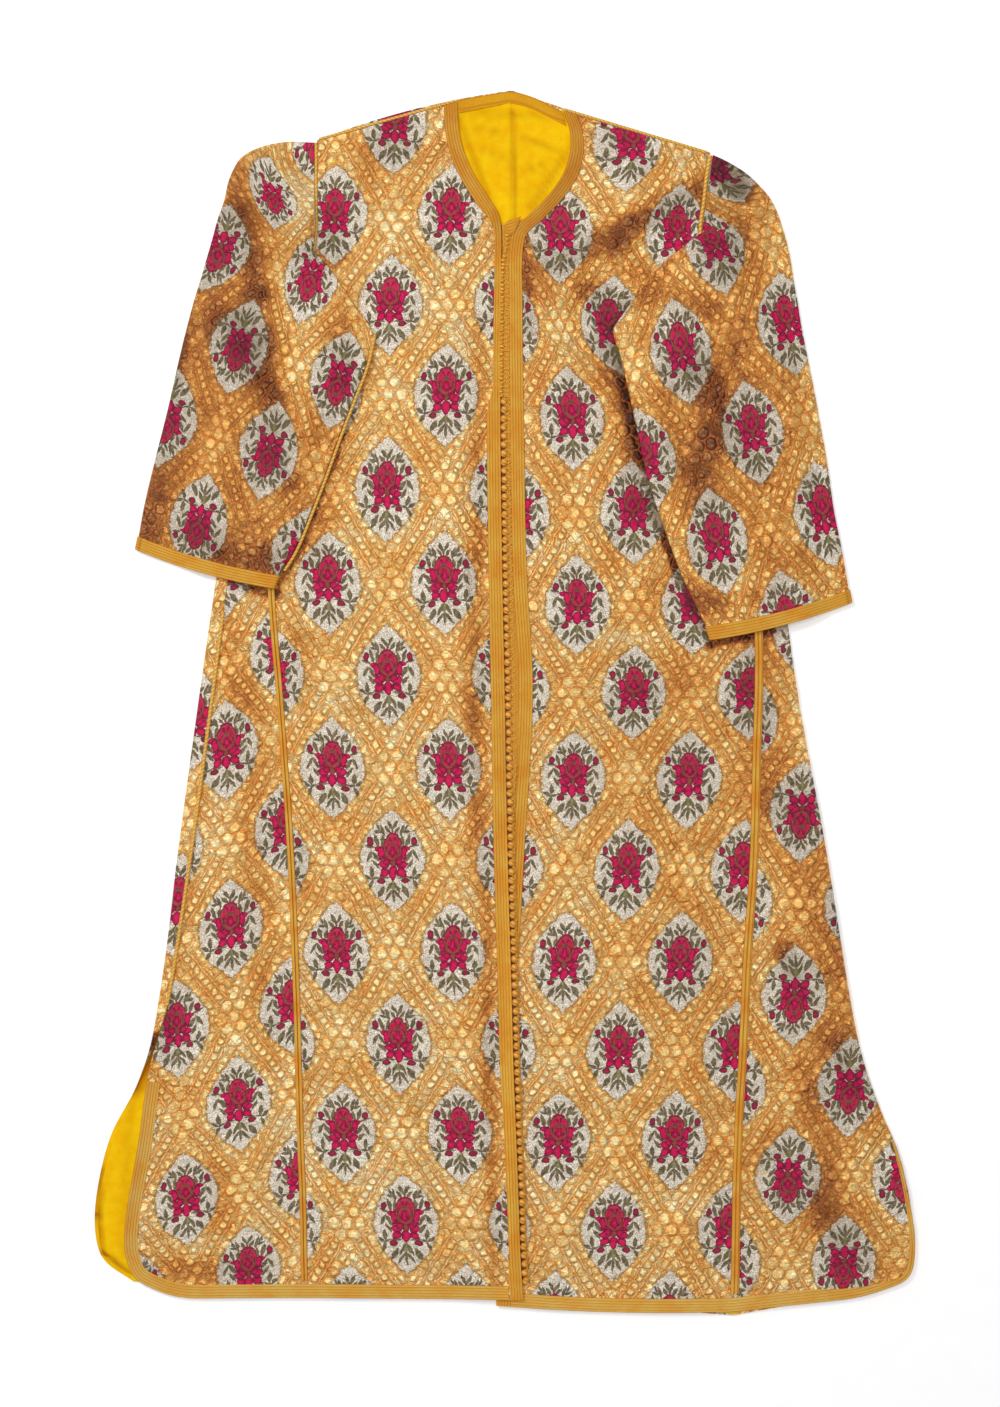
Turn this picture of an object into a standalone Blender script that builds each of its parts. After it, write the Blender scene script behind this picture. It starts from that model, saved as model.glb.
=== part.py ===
"""Moroccan kaftan laid flat, front upwards, with its sleeves folded down over the body.

Frame: +Z up, +Y towards the neck, +X to the right as seen from above; z = 0 is the surface it lies on.
Left and right are as seen from above. Lengths below are millimetres; MM turns them into metres.

The tables give the plan of the garment, a row for each cross section from the neck down to the hem.
Every panel is a wall of cloth raised from those sections, and what is sewn on a panel is made from the
panel's own points, moved up by the seam gap.
"""

import math

import bpy

MM = 0.001

# Cloth and trim
GAP = 0.3  # between pieces at seams and between layers
BACK = 1.8  # brocade of the back
LINING = 1.0
FRONT = 2.0  # brocade of the front, with its own lining
SLEEVE = 1.8
BRAID = 1.4  # woven sfifa braid at its crown
BRAID_EDGE = 0.8
BRAID_WIDTH = 16.0
SEAM_TAPE = 3.4  # half the width of the braid over a gore seam
SEAM_TAPE_CROWN = 1.3
NECK_BAND_CROWN, NECK_BAND_EDGE = 1.0, 0.7
CORD = 1.6  # radius of the piping in the shoulder and armhole seams
CUFF_BRAID = 1.2
SIDE_CORD = 1.9  # radius of the piping over the left side seam
CORD_SEAT = CORD + GAP + 0.1  # from a seam to the middle of its piping
UNDERARM_SEAT = CORD + GAP + 0.2

# Undersides of the layers
Z_LINING = BACK + GAP
Z_FRONT = Z_LINING + LINING + GAP
FRONT_TOP = Z_FRONT + FRONT
Z_SLEEVE = FRONT_TOP + GAP + BRAID + 0.4  # a sleeve where it lies over the body
SLEEVE_FLAT = 2 * SLEEVE + 1.4  # both layers of a sleeve, pressed flat

CENTRE_BACK = 8.0  # x of the centre-back seam

# Rows of a front: "edge" is the neckline and then the front edge, "seam" the armhole and then the
# gore seam. (edge x, edge y, seam x, seam y)
FRONT_LEFT = (
    (-55, 690, -215, 645),  # shoulder
    (-53, 659, -215, 611),
    (-48, 636, -215, 576),
    (-37, 610, -215, 542),
    (-20, 582, -220, 507),
    (-6, 557, -229, 473),
    (-4, 507, -247, 432),  # underarm
    (-5, 417, -260, 374),
    (-5, 302, -267, 279),
    (-3, 153, -269, 144),
    (0, 3, -258, -2),
    (3, -169, -246, -175),
    (8, -342, -239, -345),
    (10, -420, -237, -421),
    (13, -497, -235, -497),
    (16, -577, -232, -575),
    (18, -635, -231, -629),
    (20, -669, -230, -667),  # upper edge of the hem braid
    (21, -685, -229, -683),  # hem
)
FRONT_RIGHT = (
    (67, 680, 233, 630),  # shoulder
    (74, 659, 229, 606),
    (75, 636, 226, 579),
    (67, 608, 222, 549),
    (49, 582, 222, 516),
    (29, 562, 230, 478),
    (8, 540, 253, 435),  # underarm
    (5, 463, 268, 377),
    (6, 325, 279, 279),
    (9, 153, 289, 130),
    (16, 15, 291, 3),
    (7, -158, 286, -161),
    (-3, -342, 276, -345),
    (-5, -410, 272, -410),
    (-7, -470, 269, -470),
    (-8, -514, 268, -514),
    (-9, -577, 266, -577),
    (-10, -635, 264, -638),
    (-10, -676, 263, -683),  # upper edge of the hem braid
    (-10, -692, 263, -699),  # hem
)
UNDERARM = 6  # the row of both fronts where the gores begin

# The outer edge of a front gore, a row for each row of its front from the underarm down: the side
# seam, then the slit's edge and its round corner. (x, y)
GORE_LEFT = (
    (-262, 424),  # underarm
    (-278, 366),
    (-297, 268),
    (-319, 136),
    (-337, -2),
    (-361, -178),
    (-388, -347),
    (-409, -421),  # top of the slit
    (-421, -503),
    (-435, -586),
    (-437, -629),
    (-424, -661),
    (-388, -684),  # hem
)
GORE_RIGHT = (
    (270, 428),  # underarm
    (289, 366),
    (306, 268),
    (320, 128),
    (337, 3),
    (367, -161),
    (397, -345),
    (411, -410),
    (432, -470),  # top of the slit
    (451, -514),
    (465, -573),
    (471, -626),
    (463, -660),
    (420, -686),  # hem
)

# Rows of a back half: from the centre-back seam to the armhole and the back gore's seam.
BACK_LEFT = (
    (CENTRE_BACK, 704, -216, 647),  # neck and shoulder
    (CENTRE_BACK, 600, -217, 522),
    (CENTRE_BACK, 450, -247, 430),
    (CENTRE_BACK, 279, -262, 279),
    (CENTRE_BACK, -2, -258, -2),
    (CENTRE_BACK, -345, -239, -345),
    (CENTRE_BACK, -560, -232, -560),
    (CENTRE_BACK, -678, -229, -674),  # hem
)
BACK_RIGHT = (
    (CENTRE_BACK, 704, 236, 633),  # neck and shoulder
    (CENTRE_BACK, 600, 224, 522),
    (CENTRE_BACK, 450, 253, 430),
    (CENTRE_BACK, 279, 270, 279),
    (CENTRE_BACK, 3, 282, 3),
    (CENTRE_BACK, -345, 272, -345),
    (CENTRE_BACK, -560, 264, -560),
    (CENTRE_BACK, -683, 262, -704),  # hem, which shows below the front's
)

# Rows of the left back gore, which turns up round the side fold and comes back to the side seam on
# top. "fold" is the outline and "turn" the angle the cloth has turned through there. It starts on the
# back's outer edge, at the height "seam y". (seam y, fold x, fold y, turn)
BACK_GORE_LEFT = (
    (430, -268, 428, 180),  # underarm
    (279, -309, 279, 180),
    (140, -332, 138, 180),
    (-2, -352, -2, 180),
    (-175, -376, -178, 180),
    (-262, -386, -264, 180),
    (-345, -398, -346, 180),
    (-396, -408, -398, 150),  # top of the slit
    (-440, -424, -442, 40),
    (-495, -453, -497, 0),
    (-560, -469, -562, 0),
    (-605, -471, -609, 0),
    (-640, -461, -640, 0),
    (-674, -427, -665, 0),  # hem
)
# Rows of the right back gore. (seam y, edge x, edge y)
BACK_GORE_RIGHT = (
    (430, 257, 428),  # underarm
    (279, 289, 279),
    (3, 319, 3),
    (-345, 380, -345),
    (-440, 408, -440),
    (-514, 442, -514),
    (-560, 454, -560),
    (-610, 459, -610),
    (-660, 449, -655),
    (-704, 410, -677),  # hem
)
RIGHT_TAIL = 11.0  # of the right front gore, under the side fold

# Rows of a sleeve, from the armhole to the cuff. (fold x, fold y, underarm x, underarm y)
SLEEVE_LEFT = (
    (-219, 644, -219, 524),  # armhole
    (-250, 645, -219.9, 523.8),
    (-281, 639, -220.5, 523.2),
    (-304, 626, -220.7, 522.3),
    (-317, 602, -220.5, 521.4),
    (-323, 577, -217.5, 517.5),
    (-330, 557, -197, 493),
    (-336, 535, -174, 458),
    (-342, 514, -151, 423),  # underarm corner
    (-349, 490, -159, 388),
    (-359, 457, -173, 351),
    (-373, 402, -190, 306),
    (-387, 340, -206, 262),
    (-402, 280, -223, 218),
    (-414, 229, -241, 175),
    (-421, 191, -259, 146),  # upper edge of the cuff braid
    (-424, 176, -265, 131),  # cuff
)
SLEEVE_RIGHT = (
    (239, 630, 226, 543),  # armhole
    (256, 622, 227.2, 542.6),
    (277, 609, 227.9, 541.9),
    (294, 593, 228.1, 541),
    (306, 578, 227.4, 540),
    (314, 561, 221, 536.5),
    (320, 543, 204, 523),
    (325, 525, 184, 507),
    (329, 504, 157, 475),
    (333, 478, 133, 443),
    (336, 463, 124, 427),  # underarm corner
    (340, 437, 131, 402),
    (348, 396, 141, 359),
    (356, 356, 150, 318),
    (363, 318, 158, 280),
    (371, 272, 170, 236),
    (378, 222, 186, 190),
    (387, 176, 205, 140),
    (395, 130, 230, 88),  # upper edge of the cuff braid
    (398, 115, 236, 72),  # cuff
)

# How far the middle of a straight row bows out
BACK_BOW_LEFT = 7.0  # neck and shoulder
BACK_BOW_RIGHT = -2.0
HEM_BOW_RIGHT = 4.0
CUFF_BOW = 5.0

# The side edges of the body under the sleeves, beyond which a sleeve drops to the floor. (x, y)
BODY_SIDE_LEFT = ((-217, 552), (-229, 473), (-250, 432), (-289, 366), (-310, 268), (-333, 130), (-342, 60))
BODY_SIDE_RIGHT = ((224, 566), (228, 478), (257, 435), (289, 366), (306, 268), (320, 130), (334, 20))
DROP_NEAR, DROP_FAR = 16.0, 54.0  # the drop's start and end, out from that edge

# The largest folds, each a rounded ridge. (from x, from y, to x, to y, half width, height)
FRONT_FOLDS = (
    (66, 522, 196, 590, 34, 7.0),  # across the right chest, up to the shoulder
    (92, 396, 122, 236, 30, 4.0),  # beside the right sleeve
    (-58, 420, -44, -40, 32, 2.6),  # along the left front edge
    (-46, -120, -30, -600, 30, 2.6),
    (52, 500, 46, 330, 26, 3.0),  # along the right front edge
    (-180, -140, -120, -420, 34, 2.0),
    (150, -60, 190, -330, 36, 2.4),
)
SLEEVE_LEFT_FOLDS = (
    (-292, 600, -212, 488, 34, 6.0),  # from the sleeve's head to the underarm
    (-300, 560, -352, 250, 46, 4.0),  # down the sleeve
    (-196, 372, -268, 196, 36, 3.0),
)
SLEEVE_RIGHT_FOLDS = (
    (290, 560, 186, 470, 40, 7.0),
    (300, 440, 372, 200, 44, 4.0),
    (150, 392, 214, 150, 34, 4.0),
    (196, 380, 262, 470, 30, 4.0),
)

# The left front edge lies over the right one below this stretch.
LAP_FROM, LAP_TO = -60.0, -190.0
LAP_LIFT = FRONT + 2 * GAP + BRAID + GAP
LAP_SLOPE = 70.0

# The knotted buttons, down the left front edge
KNOT_PITCH = 10.0
KNOT_RADIUS = 3.1
KNOT_NECK = 1.3
KNOT_FROM, KNOT_TO = 528.0, -664.0
KNOT_OUT = KNOT_RADIUS + 0.35  # from the front edge to the middle of the row
KNOT_HEIGHTS = ((528, 6.9), (20, 6.9), (-70, 10.8), (-430, 10.8), (-520, 9.3), (-664, 9.3))  # (y, z)

COLUMNS = (0.0, 1.0, 2.2, 3.4, 4.6, 5.8, 7.0)  # of a front, between its braid and its seam tape
SIDE_PUFF = 2.6  # rise of the front towards a side fold
SIDE_PUFF_WIDTH = 60.0
PUFF_TOP, PUFF_IN = 90.0, 110.0  # where the puff begins, and how far it takes to reach its height
PUFF_END_LEFT, PUFF_END_RIGHT, PUFF_OUT = -330.0, -380.0, 80.0
CALM_HEM, CALM_OVER = -655.0, 60.0  # the folds fade towards the hem
CALM_EDGE = 26.0  # and over this distance beside a front edge's braid

RIGHT_SLIT = -440.0  # top of the right slit, where the front gore stops turning under
RIGHT_OPENS = 70.0  # how far below that it lies open
TAIL_FADES = 60.0
SLIT_ROWS = {"left": 28, "right": 30}  # the row of each gore's smoothed edge where its slit's braid starts
HEM_CENTRES = {"left": (-229, -560), "right": (263, -560)}  # a point inside each slit's corner
SLEEVE_SEAM = slice(8, 16)  # the rows of the left sleeve from its underarm corner to the cuff
SIDE_CORD_FROM, SIDE_CORD_TO = 105.0, -350.0
ARMHOLE_DROP, ARMHOLE_SINK = 1.5, 0.6  # the armhole piping's place beside the front's top edge

NOSE = 3  # steps round each fold of a sleeve
ACROSS = 8  # steps across a sleeve, on each side
PRESS_FROM, PRESS_OVER = 4.0, 30.0  # a sleeve's folds of cloth begin this far from its edges

COLOURS = {
    "brocade": ((0.72, 0.43, 0.13), 0.45, 0.35),
    "lining": ((0.90, 0.52, 0.01), 0.85, 0.0),
    "braid": ((0.66, 0.36, 0.05), 0.70, 0.1),
    "knots": ((0.70, 0.38, 0.08), 0.65, 0.1),
}


# ---------------------------------------------------------------- small mathematics


def smooth(rows, steps):
    """The table's rows with steps spans between each two, on a curve through all of them."""
    count = len(rows)
    place = [0.0]
    for a, b in zip(rows, rows[1:]):
        place.append(place[-1] + max(1.0, math.dist(a[:2], b[:2])))

    def slope(i):
        lo, hi = max(0, i - 1), min(count - 1, i + 1)
        return [(q - p) / (place[hi] - place[lo]) for p, q in zip(rows[lo], rows[hi])]

    made = []
    for i in range(count - 1):
        span = place[i + 1] - place[i]
        start, end = slope(i), slope(i + 1)
        for k in range(steps):
            t = k / steps
            h1, h2 = (1 + 2 * t) * (1 - t) ** 2, t * t * (3 - 2 * t)
            h3, h4 = t * (1 - t) ** 2 * span, -t * t * (1 - t) * span
            made.append(
                tuple(
                    h1 * p + h2 * q + h3 * u + h4 * v
                    for p, q, u, v in zip(rows[i], rows[i + 1], start, end)
                )
            )
    made.append(tuple(rows[-1]))
    return made


def ease(t):
    """0 below 0, 1 above 1, and smooth between."""
    t = min(1.0, max(0.0, t))
    return t * t * (3 - 2 * t)


def along(table, y):
    """The second column of a table of (y, value) at y, with the rows from high y to low."""
    if y >= table[0][0]:
        return table[0][1]
    for (y0, v0), (y1, v1) in zip(table, table[1:]):
        if y >= y1:
            return v0 + (v1 - v0) * (y0 - y) / (y0 - y1)
    return table[-1][1]


def mix(a, b, t):
    return tuple(p + (q - p) * t for p, q in zip(a, b))


def bowed(a, b, t, bow):
    """The point at share t of the line from a to b, whose middle bows out by bow."""
    length = math.dist(a, b)
    out = 4 * t * (1 - t) * bow / length
    x, y = mix(a, b, t)
    return x - (b[1] - a[1]) * out, y + (b[0] - a[0]) * out


def nearest(x, y, a, b):
    """(distance, share along) of the point nearest to x, y on the line from a to b."""
    dx, dy = b[0] - a[0], b[1] - a[1]
    t = ((x - a[0]) * dx + (y - a[1]) * dy) / (dx * dx + dy * dy)
    t = min(1.0, max(0.0, t))
    return math.hypot(x - a[0] - dx * t, y - a[1] - dy * t), t


# ---------------------------------------------------------------- heights


def ridges(folds, x, y):
    """How far the folds lift the cloth at x, y."""
    rise = 0.0
    for x0, y0, x1, y1, half, height in folds:
        distance, t = nearest(x, y, (x0, y0), (x1, y1))
        taper = 0.35 + 0.65 * math.sin(math.pi * min(0.85, max(0.15, t)))
        rise += height * taper * ease(1 - distance / (1.6 * half))
    return rise


def side_outline(y, left):
    """x of the body's outline at y."""
    if left:
        return along([(row[2], row[1]) for row in BACK_GORE_LEFT], y)
    return along([(edge_y, edge_x) for edge_x, edge_y in GORE_RIGHT], y)


def side_puff(x, y):
    """Rise towards the side folds, on the stretch below the sleeves and above the slits."""
    rise = 0.0
    for left in (True, False):
        end = PUFF_END_LEFT if left else PUFF_END_RIGHT
        amount = ease((PUFF_TOP - y) / PUFF_IN) * ease((y - end) / PUFF_OUT)
        rise += SIDE_PUFF * amount * ease(1 - abs(x - side_outline(y, left)) / SIDE_PUFF_WIDTH)
    return rise


def calm(y):
    """Lets the folds fade before the hem."""
    return ease((y - CALM_HEM) / CALM_OVER)


def edge_calm(x, y, edge_x):
    """Lets the folds fade beside a front edge, where the braid lies flat."""
    return ease((abs(x - edge_x) - BRAID_WIDTH) / CALM_EDGE)


def front_top(x, y, edge_x):
    """Top of a front panel. edge_x is that row's front edge."""
    lift = ridges(FRONT_FOLDS, x, y) * edge_calm(x, y, edge_x)
    return FRONT_TOP + (lift + side_puff(x, y)) * calm(y)


def lap(x, y, edge_x):
    """How far the left front is lifted where it lies over the right one."""
    across = 1 - (edge_x - x - BRAID_WIDTH) / LAP_SLOPE
    return LAP_LIFT * ease((LAP_FROM - y) / (LAP_FROM - LAP_TO)) * ease(across)


def off_body(x, y, side):
    """Distance out from the body's side edge, and 0 over the body."""
    sign = 1.0 if side is BODY_SIDE_LEFT else -1.0
    edge = along([(row[1], row[0]) for row in side], y)
    if y <= side[0][1] and (x - edge) * sign >= 0:
        return 0.0
    return min(nearest(x, y, a, b)[0] for a, b in zip(side, side[1:]))


def sleeve_low(x, y, side):
    """Underside of a sleeve: on the body, and on the floor beyond it."""
    return Z_SLEEVE * (1 - ease((off_body(x, y, side) - DROP_NEAR) / (DROP_FAR - DROP_NEAR)))


# ---------------------------------------------------------------- solids


def material(name):
    colour, roughness, metallic = COLOURS[name]
    made = bpy.data.materials.get(name)
    if made is None:
        made = bpy.data.materials.new(name)
        made.use_nodes = True
        shader = made.node_tree.nodes["Principled BSDF"]
        shader.inputs["Base Color"].default_value = (*colour, 1)
        shader.inputs["Roughness"].default_value = roughness
        shader.inputs["Metallic"].default_value = metallic
    return made


def solid(name, points, faces, cloth):
    """A named object from points in millimetres, with its faces turned outwards."""
    if volume(points, faces) < 0:
        faces = [tuple(reversed(f)) for f in faces]
    mesh = bpy.data.meshes.new(name)
    mesh.from_pydata([[c * MM for c in p] for p in points], [], faces)
    mesh.validate()
    mesh.shade_smooth()
    mesh.set_sharp_from_angle(angle=math.radians(50))
    mesh.materials.append(material(cloth))
    made = bpy.data.objects.new(name, mesh)
    bpy.context.scene.collection.objects.link(made)
    return made


def volume(points, faces):
    """Six times the volume inside the faces, below zero where they face inwards."""
    total = 0.0
    for face in faces:
        (ax, ay, az), (bx, by, bz), (cx, cy, cz) = (points[k] for k in face)
        total += ax * (by * cz - bz * cy) + ay * (bz * cx - bx * cz) + az * (bx * cy - by * cx)
    return total


def split(a, b, c, d):
    """A quad as two triangles, always on the same diagonal."""
    return [(a, b, c), (a, c, d)]


def wall(name, low, top, cloth):
    """A sheet of cloth between two grids of points, low and top, with the same rows and columns."""
    rows, columns = len(top), len(top[0])
    points = [p for row in top for p in row] + [p for row in low for p in row]
    below = rows * columns
    faces = []
    for i in range(rows - 1):
        for j in range(columns - 1):
            a = i * columns + j
            b, c, d = a + columns, a + columns + 1, a + 1
            faces += split(a, b, c, d)
            faces += [tuple(below + k for k in reversed(f)) for f in split(a, b, c, d)]
    rim = [j for j in range(columns)]
    rim += [i * columns + columns - 1 for i in range(1, rows)]
    rim += [(rows - 1) * columns + j for j in range(columns - 2, -1, -1)]
    rim += [i * columns for i in range(rows - 2, 0, -1)]
    for a, b in zip(rim, rim[1:] + rim[:1]):
        faces += split(a, b, below + b, below + a)
    return solid(name, points, faces, cloth)


def sweep(name, rings, cloth, inner=None):
    """Rings joined along their length: a solid with flat ends, or with inner rings an open tube."""
    count, around = len(rings), len(rings[0])
    points = [p for ring in rings for p in ring]
    faces = []
    for i in range(count - 1):
        for j in range(around):
            a, b = i * around + j, i * around + (j + 1) % around
            faces += split(a, b, b + around, a + around)
    if inner is None:
        last = (count - 1) * around
        faces += [(0, j + 1, j) for j in range(1, around - 1)]
        faces += [(last, last + j, last + j + 1) for j in range(1, around - 1)]
        return solid(name, points, faces, cloth)
    shift = len(points)
    points += [p for ring in inner for p in ring]
    faces += [tuple(shift + k for k in reversed(f)) for f in faces]
    for start, turned in ((0, False), ((count - 1) * around, True)):
        for j in range(around):
            a, b = start + j, start + (j + 1) % around
            quad = (b, a, shift + a, shift + b)
            faces += split(*(reversed(quad) if turned else quad))
    return solid(name, points, faces, cloth)


def ribbon(name, one, other, cloth="braid", width_in=0.0, thick=BRAID, edge=BRAID_EDGE):
    """A braid along a panel: one and other are lines of points on the panel, for its two edges.
    width_in draws both edges in a little."""
    rings = []
    for a, b in zip(one, other):
        share = width_in / math.dist(a, b)
        a, b = mix(a, b, share), mix(b, a, share)
        middle = mix(a, b, 0.5)
        rings.append(
            [
                raised(a, GAP),
                raised(b, GAP),
                raised(b, GAP + edge),
                raised(middle, GAP + thick),
                raised(a, GAP + edge),
            ]
        )
    return sweep(name, rings, cloth)


def raised(point, height):
    return (point[0], point[1], point[2] + height)


def cord(name, line, radius=CORD, cloth="braid", sides=6):
    """A round cord along a line of points."""
    rings = []
    for i, (x, y, z) in enumerate(line):
        before, after = line[max(0, i - 1)], line[min(len(line) - 1, i + 1)]
        length = math.dist(before[:2], after[:2])
        across = ((after[1] - before[1]) / length, (before[0] - after[0]) / length)
        ring = []
        for k in range(sides):
            a = 2 * math.pi * k / sides
            out = radius * math.cos(a)
            ring.append((x + across[0] * out, y + across[1] * out, z + radius * math.sin(a)))
        rings.append(ring)
    return sweep(name, rings, cloth)


# ---------------------------------------------------------------- the body


def front_columns(width):
    """Distances from the edge to the seam: the braid, the open cloth and half of the seam tape."""
    open_cloth = width - BRAID_WIDTH - SEAM_TAPE
    inside = [BRAID_WIDTH + open_cloth * c / COLUMNS[-1] for c in COLUMNS]
    return [0.0, *inside, width - GAP / 2]


def front(name, table, left):
    """A front panel. Returns its grid of top points."""
    top = []
    rows = smooth(table, 2)
    for i, (edge_x, edge_y, seam_x, seam_y) in enumerate(rows):
        width = math.dist((edge_x, edge_y), (seam_x, seam_y))
        bow = 0.0 if left or i < len(rows) - 3 else -HEM_BOW_RIGHT
        row = []
        for distance in front_columns(width):
            x, y = bowed((edge_x, edge_y), (seam_x, seam_y), distance / width, bow)
            z = front_top(x, y, edge_x)
            row.append((x, y, z + lap(x, y, edge_x) if left else z))
        top.append(row)
    wall(name, lowered(top, FRONT), top, "brocade")
    return top


def lowered(grid, thickness):
    return [[raised(p, -thickness) for p in row] for row in grid]


def turned_row(start, outline, z, turn, tail, thickness, target):
    """Points and normals across a panel that turns round a side fold, up or down to the height target.
    The row runs from start to its outline, and the tail comes back along the other layer."""
    out = 1.0 if outline[0] > start[0] else -1.0
    angle = math.radians(turn)
    base = z(outline[0])
    radius = abs(target - base) / 2
    reach = radius if turn >= 90 else radius * math.sin(angle) + tail * math.cos(angle)
    bend_x = outline[0] - out * reach
    base = z(bend_x)
    lift = (target - base) / 2
    side = 1.0 if target > base else -1.0
    made = []

    def put(x, height, normal_x, normal_z):
        y = start[1] + (outline[1] - start[1]) * (x - start[0]) / (outline[0] - start[0])
        made.append(((x, y, height), (normal_x, normal_z)))

    first = start[0] + out * SEAM_TAPE
    for share in (0.0, 0.33, 0.67, 1.0):
        x = first + (bend_x - first) * share
        put(x, z(x), 0.0, 1.0)
    steps = 5
    for k in range(1, steps + 1):
        a = angle * k / steps
        x = bend_x + out * radius * math.sin(a)
        put(x, base + lift * (1 - math.cos(a)), -side * out * math.sin(a), math.cos(a))
    end_x, _, end_z = made[-1][0]
    x = end_x + out * tail * math.cos(angle)
    put(x, max(thickness / 2, end_z + side * tail * math.sin(angle)), *made[-1][1])
    near_seam = start[0] + out * GAP / 2
    made.insert(0, ((near_seam, start[1], z(near_seam)), (0.0, 1.0)))
    return made


def turned_wall(name, rows, thickness, cloth):
    """A wall whose rows of (middle point, normal) turn round a side fold."""

    def side(sign):
        half = thickness / 2 * sign
        return [[(p[0] + n[0] * half, p[1], p[2] + n[1] * half) for p, n in row] for row in rows]

    top = side(1)
    wall(name, side(-1), top, cloth)
    return top


def gore_rows(front_table, side_table):
    """Rows across a front gore, from the front's seam to the gore's outer edge."""
    seams = smooth(front_table, 2)[2 * UNDERARM :]
    return [(*row[2:], *side) for row, side in zip(seams, smooth(side_table, 2))]


def front_gore_left():
    """Lies on top, from the gore seam to the side seam and then to the slit's free edge."""
    top = []
    for seam_x, seam_y, side_x, side_y in gore_rows(FRONT_LEFT, GORE_LEFT):
        width = math.dist((seam_x, seam_y), (side_x, side_y))
        inside = [GAP / 2, SEAM_TAPE]
        inside += [SEAM_TAPE + (width - SEAM_TAPE) * c / 5 for c in range(1, 5)]
        row = []
        for distance in (*inside, width - GAP):
            x, y = mix((seam_x, seam_y), (side_x, side_y), distance / width)
            row.append((x, y, front_top(x, y, 0.0)))
        top.append(row)
    wall("front_gore_left", lowered(top, FRONT), top, "brocade")
    return top


def front_gore_right():
    """Goes over the side fold and a little way under it, down to the slit, where it lies free."""
    rows = []
    for seam_x, seam_y, side_x, side_y in gore_rows(FRONT_RIGHT, GORE_RIGHT):
        opened = ease((RIGHT_SLIT - side_y) / RIGHT_OPENS)
        turn = 180 * (1 - opened)

        def middle(x, y=seam_y):
            return front_top(x, y, 0.0) - FRONT / 2

        tail = RIGHT_TAIL * ease((side_y - RIGHT_SLIT) / TAIL_FADES) + 1.0
        start, outline = (seam_x, seam_y), (side_x, side_y)
        rows.append(turned_row(start, outline, middle, turn, tail, FRONT, FRONT / 2))
    return turned_wall("front_gore_right", rows, FRONT, "brocade")


def back_gore_left():
    """Turns up round the side fold to the side seam, and lies open below the top of the slit."""
    side_seam = [(y, x) for x, y in smooth(GORE_LEFT, 2)]
    back_seam = [(row[3], row[2]) for row in BACK_LEFT]
    rows = []
    for seam_y, fold_x, fold_y, turn in smooth(BACK_GORE_LEFT, 2):
        top = front_top(fold_x, fold_y, 0.0)
        radius = (top - BACK) / 2
        turn = min(180.0, max(0.0, turn))
        reach = along(side_seam, fold_y) - fold_x - radius - GAP
        tail = 1.0 + (max(1.0, reach) - 1.0) * ease((turn - 90) / 90)
        start, outline = (along(back_seam, seam_y), seam_y), (fold_x, fold_y)
        target = top - BACK / 2
        rows.append(turned_row(start, outline, lambda x: BACK / 2, turn, tail, BACK, target))
    return turned_wall("back_gore_left", rows, BACK, "brocade")


def flat_panel(name, table, low, thickness, cloth, bow=0.0, steps=1, columns=3):
    """A panel that lies flat at height low. Its first row bows up by bow."""
    top = []
    for i, (x0, y0, x1, y1) in enumerate(smooth(table, steps)):
        seam = GAP / 2 / math.dist((x0, y0), (x1, y1))
        shares = [seam + (1 - 2 * seam) * k / columns for k in range(columns + 1)]
        rise = (bow if x1 > x0 else -bow) if i == 0 else 0.0
        top.append([(*bowed((x0, y0), (x1, y1), s, rise), low + thickness) for s in shares])
    return wall(name, lowered(top, thickness), top, cloth)


def body():
    left = front("front_left", FRONT_LEFT, True)
    right = front("front_right", FRONT_RIGHT, False)
    gore_left = front_gore_left()
    gore_right = front_gore_right()
    back_gore_left()
    flat_panel("back_left", BACK_LEFT, 0.0, BACK, "brocade", BACK_BOW_LEFT, columns=5)
    flat_panel("back_right", BACK_RIGHT, 0.0, BACK, "brocade", BACK_BOW_RIGHT, columns=5)
    back_seam = [(row[3], row[2]) for row in BACK_RIGHT]
    gore = [(along(back_seam, seam_y), seam_y, x, y) for seam_y, x, y in BACK_GORE_RIGHT]
    flat_panel("back_gore_right", gore, 0.0, BACK, "brocade")
    return left, right, gore_left, gore_right


# Rows of the lining of the back, from the centre-back seam outwards.
LINING_LEFT = (
    (CENTRE_BACK, 701, -212, 640),  # neck and shoulder
    (CENTRE_BACK, 600, -212, 522),
    (CENTRE_BACK, 450, -248, 426),
    (CENTRE_BACK, 279, -296, 276),
    (CENTRE_BACK, 138, -319, 134),
    (CENTRE_BACK, -2, -340, -2),
    (CENTRE_BACK, -175, -365, -178),
    (CENTRE_BACK, -345, -389, -346),
    (CENTRE_BACK, -402, -398, -402),  # top of the slit
    (CENTRE_BACK, -442, -416, -442),
    (CENTRE_BACK, -490, -446, -492),
    (CENTRE_BACK, -560, -465, -562),
    (CENTRE_BACK, -600, -467, -604),
    (CENTRE_BACK, -638, -459, -638),
    (CENTRE_BACK, -675, -426, -664),  # hem
)
LINING_RIGHT = (
    (CENTRE_BACK, 701, 232, 627),  # neck and shoulder
    (CENTRE_BACK, 600, 219, 522),
    (CENTRE_BACK, 450, 250, 426),
    (CENTRE_BACK, 279, 288, 279),
    (CENTRE_BACK, 3, 318, 3),
    (CENTRE_BACK, -345, 379, -345),
    (CENTRE_BACK, -440, 404, -440),
    (CENTRE_BACK, -514, 440, -514),
    (CENTRE_BACK, -600, 454, -600),
    (CENTRE_BACK, -650, 446, -648),
    (CENTRE_BACK, -682, 262, -702),  # hem, which shows below the front's
)

# The band inside the back of the neck: its upper edge, and its lower edge.
NECK_BAND = (
    (-53.5, 692, -52, 678),
    (-34, 696, -32, 682),
    (-14, 699.5, -12, 686),
    (8, 702, 8, 688.5),
    (34, 695, 30, 683),
    (54, 685, 51, 673),
    (65.5, 679, 70, 663),
)


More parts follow.
